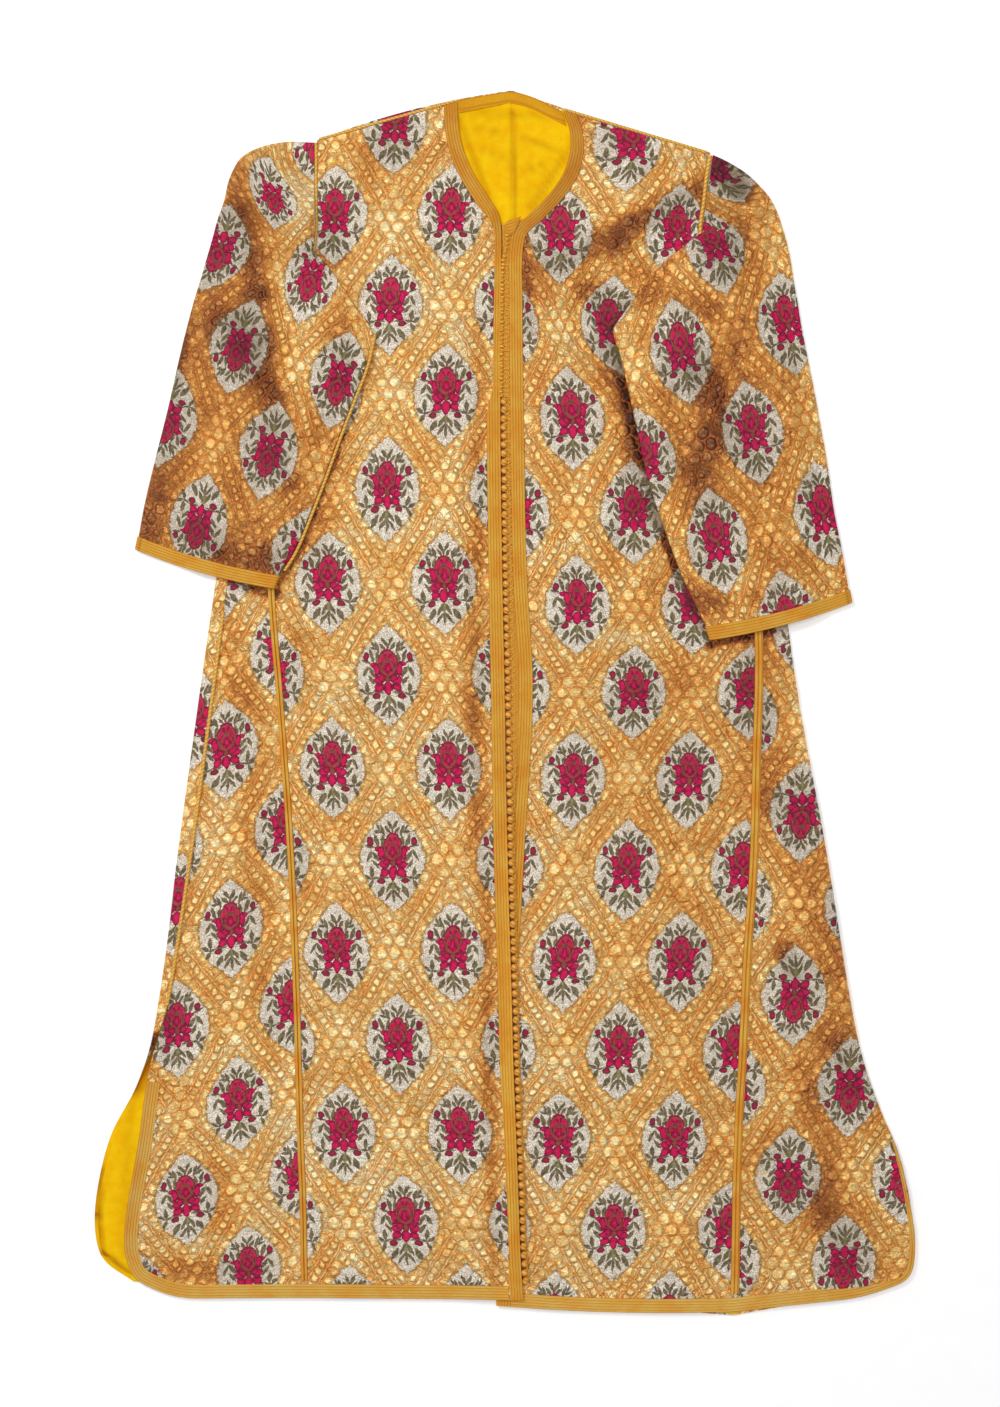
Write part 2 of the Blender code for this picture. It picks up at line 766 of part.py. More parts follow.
def linings():
    flat_panel("lining_left", LINING_LEFT, Z_LINING, LINING, "lining", BACK_BOW_LEFT, columns=5)
    flat_panel("lining_right", LINING_RIGHT, Z_LINING, LINING, "lining", BACK_BOW_RIGHT, columns=5)
    level = Z_LINING + LINING
    upper, lower = [], []
    for x0, y0, x1, y1 in smooth(NECK_BAND, 2):
        upper.append((x0, y0, level))
        lower.append((x1, y1, level))
    ribbon("neck_band", upper, lower, "lining", thick=NECK_BAND_CROWN, edge=NECK_BAND_EDGE)


# ---------------------------------------------------------------- sleeves


def sleeve_ring(row, side, folds, out, cuff):
    """One cross section of a sleeve: down round the outer fold, along the underside and back on top.
    out moves the whole ring outwards, or inwards where it is negative. cuff is 1 at the cuff, where the
    braid goes round the sleeve, and 0 away from it."""
    fold, under = row[:2], row[2:]
    width = math.dist(fold, under)
    bow = -CUFF_BOW * cuff * (1 if under[0] > fold[0] else -1)

    def at(distance):
        return bowed(fold, under, distance / width, bow)

    def low(x, y):
        return sleeve_low(x, y, side) + (GAP + CUFF_BRAID + 0.1) * cuff

    def high(x, y, distance):
        pressed = ease((min(distance, width - distance) - PRESS_FROM) / PRESS_OVER)
        return low(x, y) + SLEEVE_FLAT + ridges(folds, x, y) * pressed

    def end(distance):
        x, y = at(distance)
        return low(x, y), high(x, y, distance)

    points = []
    low_end, high_end = end(0.0)
    radius = (high_end - low_end) / 2
    for k in range(NOSE + 1):
        a = math.pi / 2 + math.pi * k / NOSE
        x, y = at(radius + (radius + out) * math.cos(a))
        points.append((x, y, low_end + radius + (radius + out) * math.sin(a)))
    start = radius
    low_end, high_end = end(width)
    radius = (high_end - low_end) / 2
    stop = width - radius
    for k in range(1, ACROSS):
        x, y = at(start + (stop - start) * k / ACROSS)
        points.append((x, y, low(x, y) - out))
    for k in range(NOSE + 1):
        a = -math.pi / 2 + math.pi * k / NOSE
        x, y = at(stop + (radius + out) * math.cos(a))
        points.append((x, y, low_end + radius + (radius + out) * math.sin(a)))
    for k in range(1, ACROSS):
        distance = stop + (start - stop) * k / ACROSS
        x, y = at(distance)
        points.append((x, y, high(x, y, distance) + out))
    return points


def sleeve(tag, table, side, folds):
    """A sleeve pressed flat, its cuff braid, and the rows that its piping follows."""
    last = len(table) - 1
    near_cuff = [ease((i - last + 4) / 3) for i in range(last + 1)]

    def rings(out, rows):
        return [sleeve_ring(table[i], side, folds, out, near_cuff[i]) for i in rows]

    every = range(last + 1)
    sweep("sleeve_" + tag, rings(0.0, every), "brocade", inner=rings(-SLEEVE, every))
    cuff = (last - 1, last)
    sweep("cuff_braid_" + tag, rings(GAP + CUFF_BRAID, cuff), "braid", inner=rings(GAP, cuff))


def underarm_piping():
    """The piped seam down the inner edge of the left sleeve, from its underarm corner to the cuff."""
    line = []
    for fx, fy, ux, uy in smooth(SLEEVE_LEFT[SLEEVE_SEAM], 2)[:-1]:
        width = math.dist((fx, fy), (ux, uy))
        x, y = mix((fx, fy), (ux, uy), 1 + UNDERARM_SEAT / width)
        line.append((x, y, Z_SLEEVE + SLEEVE_FLAT - CORD))
    cord("piping_underarm_left", line)


# ---------------------------------------------------------------- braid, piping and buttons


def seam_tape(name, panel, gore):
    """The narrow braid over a gore seam: from the front's last open column to the gore's first."""
    outer = [row[-2] for row in panel[2 * UNDERARM :]]
    inner = [row[1] for row in gore]
    last = -3  # it stops at the hem braid
    ribbon(name, outer[:last], inner[:last], thick=SEAM_TAPE_CROWN)


def hem_braid(name, panel, edge_rows):
    """Along the front's hem, outside the front-edge braid, and round the gore's corner up the slit."""
    level = FRONT_TOP
    last, above = panel[-1], panel[-3]
    outer = [raised(p, 0) for p in last[1:-1]]
    inner = [raised(p, 0) for p in above[1:-1]]
    outer[0] = mix(outer[0], outer[1], GAP / math.dist(outer[0], outer[1]))
    inner[0] = mix(inner[0], inner[1], GAP / math.dist(inner[0], inner[1]))
    for point, inwards in edge_rows:
        outer.append((*point, level))
        inner.append((*mix(point, inwards, 1.0), level))
    return ribbon(name, outer, inner)


def inset_line(points, by, centre):
    """Pairs of a point and the point that lies by inside it, at right angles to the line."""
    pairs = []
    for i, p in enumerate(points):
        a, b = points[max(0, i - 1)], points[min(len(points) - 1, i + 1)]
        length = math.dist(a, b)
        normal = ((b[1] - a[1]) / length, (a[0] - b[0]) / length)
        towards = (centre[0] - p[0]) * normal[0] + (centre[1] - p[1]) * normal[1]
        sign = 1 if towards > 0 else -1
        pairs.append((p, (p[0] + normal[0] * by * sign, p[1] + normal[1] * by * sign)))
    return pairs


def knots(edge_rows):
    """The row of knotted buttons as one beaded strip beside the left front edge."""
    edge = [(row[1], row[0]) for row in edge_rows]
    count = int((KNOT_FROM - KNOT_TO) / KNOT_PITCH)
    profile = ((0.0, KNOT_NECK), (0.25, KNOT_RADIUS), (0.75, KNOT_RADIUS))
    rings = []
    for k in range(count + 1):
        for share, radius in profile:
            y = KNOT_FROM - (k + share) * KNOT_PITCH
            x = along(edge, y) + KNOT_OUT
            z = along(KNOT_HEIGHTS, y)
            rings.append(
                [
                    (x + radius * math.cos(a), y, z + radius * math.sin(a))
                    for a in (math.pi / 2 * c for c in range(4))
                ]
            )
            if k == count:
                break
    return sweep("knots", rings, "knots")


def trims(left, right, gore_left, gore_right):
    ribbon("braid_front_left", [r[0] for r in left], [r[1] for r in left])
    ribbon("braid_front_right", [r[0] for r in right], [r[1] for r in right])
    seam_tape("tape_gore_left", left, gore_left)
    seam_tape("tape_gore_right", right, gore_right)
    for tag, panel, gore_edge in (("left", left, GORE_LEFT), ("right", right, GORE_RIGHT)):
        slit = smooth(gore_edge, 4)[SLIT_ROWS[tag] :]
        start = panel[-1][-1][:2]
        hem = [mix(start, slit[-1], t) for t in (0.25, 0.5, 0.75)]
        edge = [*hem, *reversed(slit)]
        pairs = inset_line(edge, BRAID_WIDTH, HEM_CENTRES[tag])
        shifted = [(mix(p, q, GAP / BRAID_WIDTH), q) for p, q in pairs]
        hem_braid("braid_hem_" + tag, panel, shifted)
    knots(smooth(FRONT_LEFT, 2))


def piping():
    """Cords in the shoulder and armhole seams, and over the left side seam."""
    for tag, table in (("left", FRONT_LEFT), ("right", FRONT_RIGHT)):
        sign = 1 if tag == "right" else -1
        x0, y0, x1, y1 = table[0]
        line = [mix((x0, y0), (x1, y1), t) for t in (0.01, 0.34, 0.67, 0.99)]
        cord("piping_shoulder_" + tag, [(x, y + CORD_SEAT, Z_FRONT + CORD) for x, y in line])
        armhole = [row[2:] for row in smooth(table[:4], 2)]
        seat = sign * (CORD + GAP)
        line = [(x + seat, y - ARMHOLE_DROP, FRONT_TOP - ARMHOLE_SINK) for x, y in armhole]
        cord("piping_armhole_" + tag, line)
    seam = [(x, y) for x, y in smooth(GORE_LEFT, 2) if SIDE_CORD_TO < y < SIDE_CORD_FROM]
    line = [(x, y, front_top(x, y, 0.0) + GAP + SIDE_CORD) for x, y in seam]
    cord("piping_side_left", line, SIDE_CORD)


def clear_scene():
    for old in list(bpy.data.objects):
        bpy.data.objects.remove(old)


def main():
    clear_scene()
    left, right, gore_left, gore_right = body()
    linings()
    sleeve("left", SLEEVE_LEFT, BODY_SIDE_LEFT, SLEEVE_LEFT_FOLDS)
    sleeve("right", SLEEVE_RIGHT, BODY_SIDE_RIGHT, SLEEVE_RIGHT_FOLDS)
    trims(left, right, gore_left, gore_right)
    piping()
    underarm_piping()


main()
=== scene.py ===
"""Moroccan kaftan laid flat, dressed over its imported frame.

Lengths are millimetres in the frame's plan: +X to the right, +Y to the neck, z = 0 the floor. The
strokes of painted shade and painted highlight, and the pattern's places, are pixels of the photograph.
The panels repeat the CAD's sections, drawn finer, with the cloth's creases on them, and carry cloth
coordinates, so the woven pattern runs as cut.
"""

import math

import bpy
import numpy as np
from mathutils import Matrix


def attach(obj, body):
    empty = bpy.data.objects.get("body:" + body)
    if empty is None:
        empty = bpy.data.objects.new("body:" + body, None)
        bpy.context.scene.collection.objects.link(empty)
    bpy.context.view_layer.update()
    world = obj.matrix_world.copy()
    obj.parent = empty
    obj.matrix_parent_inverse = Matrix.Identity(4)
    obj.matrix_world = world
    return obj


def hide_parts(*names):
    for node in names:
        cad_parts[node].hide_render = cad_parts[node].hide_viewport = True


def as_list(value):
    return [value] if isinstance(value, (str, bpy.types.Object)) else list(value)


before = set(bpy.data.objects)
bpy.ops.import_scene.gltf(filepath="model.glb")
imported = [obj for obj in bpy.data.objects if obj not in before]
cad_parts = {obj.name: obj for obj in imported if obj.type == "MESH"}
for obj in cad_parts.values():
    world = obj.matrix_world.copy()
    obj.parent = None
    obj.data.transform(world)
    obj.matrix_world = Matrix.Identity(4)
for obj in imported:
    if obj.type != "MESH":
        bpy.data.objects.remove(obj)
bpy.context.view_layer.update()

MM = 0.001
PIXEL = 1.15  # millimetres of the plan for each pixel of the photograph
PHOTO_MIDDLE = (505, 703)  # the pixel at the plan's origin

# Cloth and trim, as in the CAD
GAP = 0.3
BACK = 1.8
LINING = 1.0
FRONT = 2.0
SLEEVE = 1.8
BRAID = 1.4
BRAID_WIDTH = 16.0
CUFF_BRAID = 1.2
Z_LINING = BACK + GAP
Z_FRONT = Z_LINING + LINING + GAP
FRONT_TOP = Z_FRONT + FRONT
Z_SLEEVE = FRONT_TOP + GAP + BRAID + 0.4
SLEEVE_FLAT = 2 * SLEEVE + 1.4
THIN = 1.1  # the shown thickness of the brocade
PITCH = 4.6  # between the points of a shown panel

CENTRE_BACK = 8.0  # x of the centre-back seam

# Rows of a front: the neckline and then the front edge, and the armhole and then the gore seam.
# (edge x, edge y, seam x, seam y)
FRONT_LEFT = (
    (-55, 690, -215, 645),  # shoulder
    (-53, 659, -215, 611), (-48, 636, -215, 576), (-37, 610, -215, 542), (-20, 582, -220, 507),
    (-6, 557, -229, 473),
    (-4, 507, -247, 432),  # underarm
    (-5, 417, -260, 374), (-5, 302, -267, 279), (-3, 153, -269, 144), (0, 3, -258, -2),
    (3, -169, -246, -175), (8, -342, -239, -345), (10, -420, -237, -421), (13, -497, -235, -497),
    (16, -577, -232, -575), (18, -635, -231, -629),
    (20, -669, -230, -667),  # upper edge of the hem braid
    (21, -685, -229, -683),  # hem
)
FRONT_RIGHT = (
    (67, 680, 233, 630),  # shoulder
    (74, 659, 229, 606), (75, 636, 226, 579), (67, 608, 222, 549), (49, 582, 222, 516),
    (29, 562, 230, 478),
    (8, 540, 253, 435),  # underarm
    (5, 463, 268, 377), (6, 325, 279, 279), (9, 153, 289, 130), (16, 15, 291, 3), (7, -158, 286, -161),
    (-3, -342, 276, -345), (-5, -410, 272, -410), (-7, -470, 269, -470), (-8, -514, 268, -514),
    (-9, -577, 266, -577), (-10, -635, 264, -638),
    (-10, -676, 263, -683),  # upper edge of the hem braid
    (-10, -692, 263, -699),  # hem
)
UNDERARM = 6  # the row of both fronts where the gores begin

# The outer edge of a front gore, a row for each row of its front from the underarm down: the side
# seam, then the slit's edge and its round corner. (x, y)
GORE_LEFT = (
    (-262, 424),  # underarm
    (-278, 366), (-297, 268), (-319, 136), (-337, -2), (-361, -178), (-388, -347),
    (-409, -421),  # top of the slit
    (-421, -503), (-435, -586), (-437, -629), (-424, -661),
    (-388, -684),  # hem
)
GORE_RIGHT = (
    (270, 428),  # underarm
    (289, 366), (306, 268), (320, 128), (337, 3), (367, -161), (397, -345), (411, -410),
    (432, -470),  # top of the slit
    (451, -514), (465, -573), (471, -626), (463, -660),
    (420, -682),  # hem
)

# Outer edges of the back halves: the armhole and then the back gore's seam. The inner edge is the
# centre-back seam. (seam y, edge x, edge y)
BACK_LEFT = (
    (704, -216, 647),  # neck and shoulder
    (600, -217, 522), (450, -247, 430), (279, -262, 279), (-2, -258, -2), (-345, -239, -345),
    (-560, -232, -560),
    (-678, -229, -674),  # hem
)
BACK_RIGHT = (
    (704, 236, 633),  # neck and shoulder
    (600, 224, 522), (450, 253, 430), (279, 270, 279), (3, 282, 3), (-345, 272, -345), (-560, 264, -560),
    (-683, 262, -704),  # hem, which shows below the front's
)
# Rows of the left back gore, which turns up round the side fold and comes back to the side seam on
# top. It starts on the back's outer edge. (seam y, fold x, fold y, degrees turned there)
BACK_GORE_LEFT = (
    (430, -268, 428, 180),  # underarm
    (279, -309, 279, 180), (140, -332, 138, 180), (-2, -352, -2, 180), (-175, -376, -178, 180),
    (-262, -386, -264, 180), (-345, -398, -346, 180),
    (-396, -408, -398, 150),  # top of the slit
    (-440, -424, -442, 40), (-495, -453, -497, 0), (-560, -469, -562, 0), (-605, -471, -609, 0),
    (-640, -461, -640, 0),
    (-674, -427, -665, 0),  # hem
)
# Rows of the right back gore. (seam y, edge x, edge y)
BACK_GORE_RIGHT = (
    (430, 257, 428),  # underarm
    (279, 289, 279), (3, 319, 3), (-345, 380, -345), (-440, 408, -440), (-514, 442, -514),
    (-560, 454, -560), (-610, 459, -610), (-660, 449, -655),
    (-704, 410, -677),  # hem
)
# Outer edges of the lining of the back. (seam y, edge x, edge y)
LINING_LEFT = (
    (701, -212, 640),  # neck and shoulder
    (600, -212, 522), (450, -248, 426), (279, -296, 276), (138, -319, 134), (-2, -340, -2),
    (-175, -365, -178), (-345, -389, -346),
    (-402, -398, -402),  # top of the slit
    (-442, -416, -442), (-490, -446, -492), (-560, -465, -562), (-600, -467, -604), (-638, -459, -638),
    (-675, -426, -664),  # hem
)
LINING_RIGHT = (
    (701, 232, 627),  # neck and shoulder
    (600, 219, 522), (450, 250, 426), (279, 288, 279), (3, 318, 3), (-345, 379, -345), (-440, 404, -440),
    (-514, 440, -514), (-600, 454, -600), (-650, 446, -648),
    (-682, 262, -702),  # hem, which shows below the front's
)

# Rows of a sleeve, from the armhole to the cuff. (fold x, fold y, underarm x, underarm y)
SLEEVE_LEFT = (
    (-219, 644, -219, 524),  # armhole
    (-250, 645, -219.9, 523.8), (-281, 639, -220.5, 523.2), (-304, 626, -220.7, 522.3),
    (-317, 602, -220.5, 521.4), (-323, 577, -217.5, 517.5), (-330, 557, -197, 493),
    (-336, 535, -174, 458),
    (-342, 514, -151, 423),  # underarm corner
    (-349, 490, -159, 388), (-359, 457, -173, 351), (-373, 402, -190, 306), (-387, 340, -206, 262),
    (-402, 280, -223, 218), (-414, 229, -241, 175),
    (-421, 191, -259, 146),  # upper edge of the cuff braid
    (-424, 176, -265, 131),  # cuff
)
SLEEVE_RIGHT = (
    (239, 630, 226, 543),  # armhole
    (256, 622, 227.2, 542.6), (277, 609, 227.9, 541.9), (294, 593, 228.1, 541), (306, 578, 227.4, 540),
    (314, 561, 221, 536.5), (320, 543, 204, 523), (325, 525, 184, 507), (329, 504, 157, 475),
    (333, 478, 133, 443),
    (336, 463, 124, 427),  # underarm corner
    (340, 437, 131, 402), (348, 396, 141, 359), (356, 356, 150, 318), (363, 318, 158, 280),
    (371, 272, 170, 236), (378, 222, 186, 190), (387, 176, 205, 140),
    (395, 130, 230, 88),  # upper edge of the cuff braid
    (398, 115, 236, 72),  # cuff
)
UNDERARM_SEAM = slice(8, 16)  # the left sleeve's rows from its underarm corner to the cuff

TAIL = 11.0  # how far the right front gore goes on under its side fold
UNTURN_AT, UNTURN_OVER = -440.0, 70.0  # y where it starts to lie flat again, and over what length

# How far the middle of a straight row bows out
BACK_BOW_LEFT = 7.0  # neck and shoulder
BACK_BOW_RIGHT = -2.0
HEM_BOW_RIGHT = 4.0
CUFF_BOW = 5.0

# The side edges of the body under the sleeves, beyond which a sleeve drops to the floor. (x, y)
BODY_SIDE_LEFT = ((-217, 552), (-229, 473), (-250, 432), (-289, 366), (-310, 268), (-333, 130), (-342, 60))
BODY_SIDE_RIGHT = ((224, 566), (228, 478), (257, 435), (289, 366), (306, 268), (320, 130), (334, 20))
DROP_NEAR, DROP_FAR = 16.0, 54.0  # the drop's start and end, out from that edge

# The left front edge lies over the right one below this stretch.
LAP_FROM, LAP_TO = -60.0, -190.0
LAP_LIFT = FRONT + 2 * GAP + BRAID + GAP
LAP_SLOPE = 70.0

# The cloth lies calm beside a front's braid and above the hem: folds and creases start this far off.
FOLD_MARGIN, CREASE_MARGIN = 26.0, 12.0
HEM_CALM_FROM, HEM_CALM_OVER = -655.0, 60.0
# The cloth puffs up towards its side folds, between these heights
PUFF_HEIGHT, PUFF_REACH, PUFF_TOP = 2.6, 60.0, 90.0
PUFF_END = {True: -330.0, False: -380.0}  # by whether it is the left side
# How much more cloth a panel takes than its plan
IN_CREASES, IN_SLEEVE, IN_FLAT = 1.01, 1.02, 1.005

# The braid of a hem goes up the slit to here, and the tape of a gore seam ends this far above the hem.
SLIT_TOP = {True: -421, False: -494}  # by whether it is the left one
TAPE_SHORT = 17.0
# The right gore's edge rolls under and takes the braid with it: how much shows up the slit, by -y,
# and round the corner, by x.
SLIT_BRAID_WIDE = ((494, 2.5), (525, 4.5), (629, 6.5))
CORNER_BRAID_WIDE = ((360, 15.7), (420, 10.0), (458, 7.0))
CORNER_TOP = -632

# The knotted buttons, down the left front edge: pressed together at the top, and then one by one
KNOT_PITCH = 10.0
KNOT_RADIUS = 3.1
KNOT_END = -664.0
KNOT_OUT = KNOT_RADIUS + 0.35  # from the front edge to the middle of the row
KNOT_HEIGHTS = ((528, 6.9), (20, 6.9), (-70, 10.8), (-430, 10.8), (-520, 9.3), (-664, 9.3))  # (y, z)
PRESSED_FROM, PRESSED_TO, PRESSED_PITCH = 546.0, 352.0, 4.7
PRESSED_ASIDE = ((-546, 4.6), (-528, 2.0), (-509, -1.6), (-490, -2.6), (-352, -2.4))  # (-y, x)
LOOPS_TO, LOOP_PITCH = -300.0, 5.2  # small loops of cord, beside the knots
# The end of the left front's braid, folded over the first knots: its upper and its lower edge
FLAP_TOP = ((-0.5, 549.5), (3.0, 552.6), (10.4, 555.0), (18.2, 558.4))
FLAP_LOW = ((-0.3, 541.5), (4.0, 537.0), (10.0, 539.5), (16.6, 552.5))
FLAP_HEIGHT = 8.2
# How much of the left front's braid shows: it is rolled under beside the first knots. (-y, width)
LEFT_BRAID_WIDE = (
    (-575, 16.0), (-545, 8.6), (-365, 8.6), (-335, 16.0), (410, 16.0), (491, 14.0), (629, 13.4), (663, 15.0),
)
KNOT_SIZE, PRESSED_SIZE = (3.9, 4.3, 3.1), (2.9, 2.3, 2.2)  # half the length each way
BED_WIDE = 8.2  # of the dark strip of painted shadow and the golden strip under the knots

# The band inside the back of the neck. (upper x, upper y, lower x, lower y)
NECK_BAND = (
    (-53.5, 692, -52, 678), (-34, 696, -32, 682), (-14, 699.5, -12, 686), (8, 702, 8, 688.5),
    (34, 695, 30, 683), (54, 685, 51, 673), (65.5, 679, 70, 663),
)

# Cords and tapes: half widths in millimetres
SHOULDER_CORD, SIDE_CORD, UNDERARM_CORD = 1.7, 2.1, 1.8
ARMHOLE_CORD = {True: 1.8, False: 2.7}
TAPE = {True: 4.0, False: 5.0}

# Folds and creases, each a soft ridge. (from x, from y, to x, to y, half width, height)
BODY_FOLDS = (
    (66, 522, 196, 590, 34, 7.0),  # across the right chest, up to the shoulder
    (92, 396, 122, 236, 30, 4.0),  # beside the right sleeve
    (-58, 420, -44, -40, 32, 2.6),  # along the left front edge
    (-46, -120, -30, -600, 30, 2.6),
    (52, 500, 46, 330, 26, 3.0),  # along the right front edge
    (-180, -140, -120, -420, 34, 2.0), (150, -60, 190, -330, 36, 2.4),
)
BODY_CREASES = (
    (-66, 400, -52, -60, 26, 3.2), (-50, -130, -36, -600, 26, 3.0), (-120, 520, -90, 300, 30, 2.4),
    (-170, 600, -120, 470, 24, 2.6), (-190, 80, -150, -180, 34, 1.8), (-110, -180, -140, -560, 30, 1.8),
    (90, 500, 180, 560, 26, 3.0), (64, 470, 60, 300, 22, 2.4), (110, 440, 134, 220, 22, 3.0),
    (60, 120, 70, -120, 28, 1.8), (130, 60, 170, -260, 30, 2.2), (80, -240, 120, -560, 30, 2.0),
    (210, -120, 230, -520, 26, 2.0), (-300, -60, -350, -420, 26, 2.0), (330, -120, 400, -480, 30, 2.6),
    (300, 60, 350, -320, 24, 1.6),
)
SLEEVE_LEFT_FOLDS = (
    (-292, 600, -212, 488, 34, 6.0),  # from the sleeve's head to the underarm
    (-300, 560, -352, 250, 46, 4.0),  # down the sleeve
    (-196, 372, -268, 196, 36, 3.0), (-246, 590, -186, 470, 20, 3.0), (-270, 470, -300, 300, 26, 2.4),
    (-340, 420, -390, 240, 24, 2.2), (-210, 400, -250, 260, 22, 1.8),
)
SLEEVE_RIGHT_FOLDS = (
    (290, 560, 186, 470, 40, 7.0), (300, 440, 372, 200, 44, 4.0), (150, 392, 214, 150, 34, 4.0),
    (196, 380, 262, 470, 30, 4.0), (262, 610, 300, 560, 18, 3.0), (250, 520, 190, 430, 22, 3.0),
    (320, 400, 360, 260, 22, 2.2), (230, 330, 300, 210, 24, 2.4),
)
NECK_CREASES = (
    (-38, 662, 4, 656, 6, 1.2), (-30, 634, 6, 626, 7, 1.1), (14, 650, 60, 636, 6, 1.2),
    (18, 612, 48, 620, 7, 1.0), (-22, 600, 2, 594, 7, 0.9),
)

# The woven pattern: medallions in a half-drop repeat
REPEAT_WIDE, REPEAT_HIGH = 133.4, 211.0
MEDALLION_WIDE, MEDALLION_HIGH = 36.6, 58.4  # half the pointed oval
# The bouquet on the right half of a medallion, mirrored to the left, from the medallion's middle.
# Petals and buds are (x, y, half width, half length), and tips and leaves run from (x0, y0) to
# (x1, y1) with a half width.
PETALS = (
    (0, 24.0, 9.0, 8.2), (6.2, 17.0, 5.4, 10.0), (0, 9.0, 7.4, 10.0), (11.6, 8.6, 5.4, 7.0),
    (5.6, 1.0, 5.6, 7.0), (9.8, -4.6, 6.8, 5.8), (9.6, -12.8, 5.8, 5.0), (0, -13.4, 6.0, 7.6),
    (0, 0.0, 6.0, 8.0),
)
TIPS = (
    (6.0, 11.0, 21.6, 14.4, 4.2), (9.0, 8.0, 15.4, -0.6, 3.0), (6.0, -7.0, 17.6, -3.4, 3.4),
    (0, -8.0, 0, -23.4, 4.4), (5.0, -9.0, 15.6, -18.6, 3.8),
)
BUDS = ((25.1, 21.8, 3.8, 5.2), (14.2, -22.8, 5.2, 3.8))
LEAVES = (
    (0.2, 34.0, 6.4, 46.2, 2.3),  # sprigs over the head
    (0, 29.0, 0, 39.0, 1.5), (2.0, 30.0, 9.0, 38.4, 2.3), (9.4, 26.5, 14.0, 41.4, 2.4),
    (10.8, 31.0, 21.6, 33.0, 2.1), (14.4, 33.0, 18.4, 41.0, 1.9),
    (12.8, 15.0, 10.4, 29.0, 2.6),  # beside the head
    (15.4, 14.4, 21.4, 31.4, 2.7),
    (19.0, 15.0, 31.4, 18.8, 1.8),  # under the upper bud
    (14.6, -2.0, 22.8, 12.0, 2.6),  # the side leaves, an upside-down V
    (29.6, -1.6, 22.4, 12.2, 2.4), (15.0, -10.4, 23.6, 1.4, 2.3),
    (23.8, -20.4, 25.2, -5.6, 3.0),  # three leaves low at the side
    (24.8, -21.4, 34.0, -15.0, 2.6), (23.4, -20.8, 28.8, -31.6, 2.6), (16.4, -18.8, 27.0, -21.0, 1.6),
    (4.0, -18.8, 18.6, -18.2, 1.7),
    (9.0, -27.8, 18.0, -42.4, 3.7),  # under the lower buds
    (0.8, -23.0, 8.6, -37.6, 2.3),  # stems at the foot
    (0, -32.0, 10.4, -47.2, 2.1), (0, -31.0, 0, -50.0, 1.9),
)
CALYX = (0, -27.6, 4.6, 5.6)
GOLD_HEART = (0, -3.6, 2.6, 4.0)
# Gold outlines of inner petals. (x, y, half width, half length, line)
VEINS = ((0, 9.6, 6.6, 8.8, 0.16), (0, 14.6, 9.8, 13.4, 0.1), (0, 18.6, 3.6, 2.2, 0.36))

# Painted shade: where the thread is painted darker and warmer, and painted highlight where the amount is
# below zero, in pixels. (x0, y0, x1, y1, half, amount)
SHADE_STROKES = (
    (180, 760, 158, 1020, 16, 0.6),  # the left side's edge
    (792, 760, 800, 800, 26, 0.25), (620, 700, 680, 690, 24, 0.25), (290, 836, 300, 860, 20, 0.35),
    (292, 1120, 306, 1180, 24, -0.35), (282, 992, 296, 1000, 14, -0.3), (606, 396, 618, 440, 16, -0.4),
    (600, 640, 700, 636, 20, -0.25), (320, 236, 330, 262, 20, 0.5), (386, 284, 408, 290, 18, -0.35),
    (456, 330, 468, 366, 16, -0.3), (522, 236, 530, 330, 14, 0.75), (604, 326, 630, 380, 18, 0.4),
    (612, 332, 640, 300, 12, 1.0),  # the shadow beside the right sleeve
    (612, 332, 619, 362, 9, 0.9), (620, 372, 634, 430, 8, 1.7), (634, 430, 652, 500, 7, 1.2),
    (650, 500, 681, 581, 8, 1.8), (681, 581, 706, 638, 8, 1.6), (710, 645, 790, 625, 9, 1.2),
    (374, 338, 355, 400, 8, 0.7),  # and the left
    (355, 400, 311, 515, 8, 0.8), (311, 515, 277, 592, 8, 0.8), (222, 578, 276, 596, 9, 1.2),
    (748, 680, 762, 730, 18, 0.4), (780, 950, 800, 985, 20, 0.5), (830, 1040, 850, 1078, 22, 0.45),
    (400, 160, 440, 150, 24, 0.25), (600, 900, 650, 1260, 90, -0.08), (800, 1180, 876, 1290, 60, 0.25),
    (360, 1180, 400, 1180, 40, -0.25), (660, 1200, 690, 1200, 34, -0.25),
    (478, 330, 479, 560, 14, 0.35),  # beside the left front's braid
    (474, 560, 476, 720, 20, 0.42), (470, 700, 482, 880, 20, 0.44), (486, 880, 494, 1280, 13, 0.42),
    (538, 235, 548, 290, 22, 0.5),  # right of the right front's braid
    (545, 300, 538, 430, 16, 0.25),
    (562, 262, 700, 190, 26, 0.8),  # across the right chest
    (585, 290, 640, 325, 30, 0.6), (622, 256, 655, 290, 24, 0.4), (380, 138, 402, 150, 24, 0.3),
    (226, 620, 240, 700, 26, 0.3),
    (590, 300, 612, 430, 30, 0.28),  # beside the right sleeve
    (612, 360, 656, 520, 26, 0.55),
    (350, 330, 310, 560, 30, 0.45),  # beside the left sleeve
    (330, 220, 345, 260, 16, 0.6), (400, 130, 360, 180, 30, 0.35), (560, 110, 640, 170, 30, 0.25),
    (650, 450, 690, 1240, 150, 0.2),  # painted shade: the right front lies darker than the left
    (300, 640, 300, 700, 22, 0.35), (300, 840, 300, 880, 22, 0.3),
    (200, 640, 150, 1080, 34, 0.3),  # the outer gores
    (250, 680, 262, 1020, 30, 0.3), (155, 980, 172, 1040, 20, 0.5), (140, 1268, 260, 1270, 24, 0.5),
    (756, 640, 764, 800, 44, 0.5), (800, 820, 868, 1100, 60, 0.5), (770, 1150, 860, 1240, 50, 0.2),
    (800, 1040, 830, 1180, 34, 0.45), (820, 1215, 850, 1262, 30, 0.35), (210, 1170, 222, 1220, 30, 0.25),
    (786, 950, 794, 990, 20, 0.35),
)
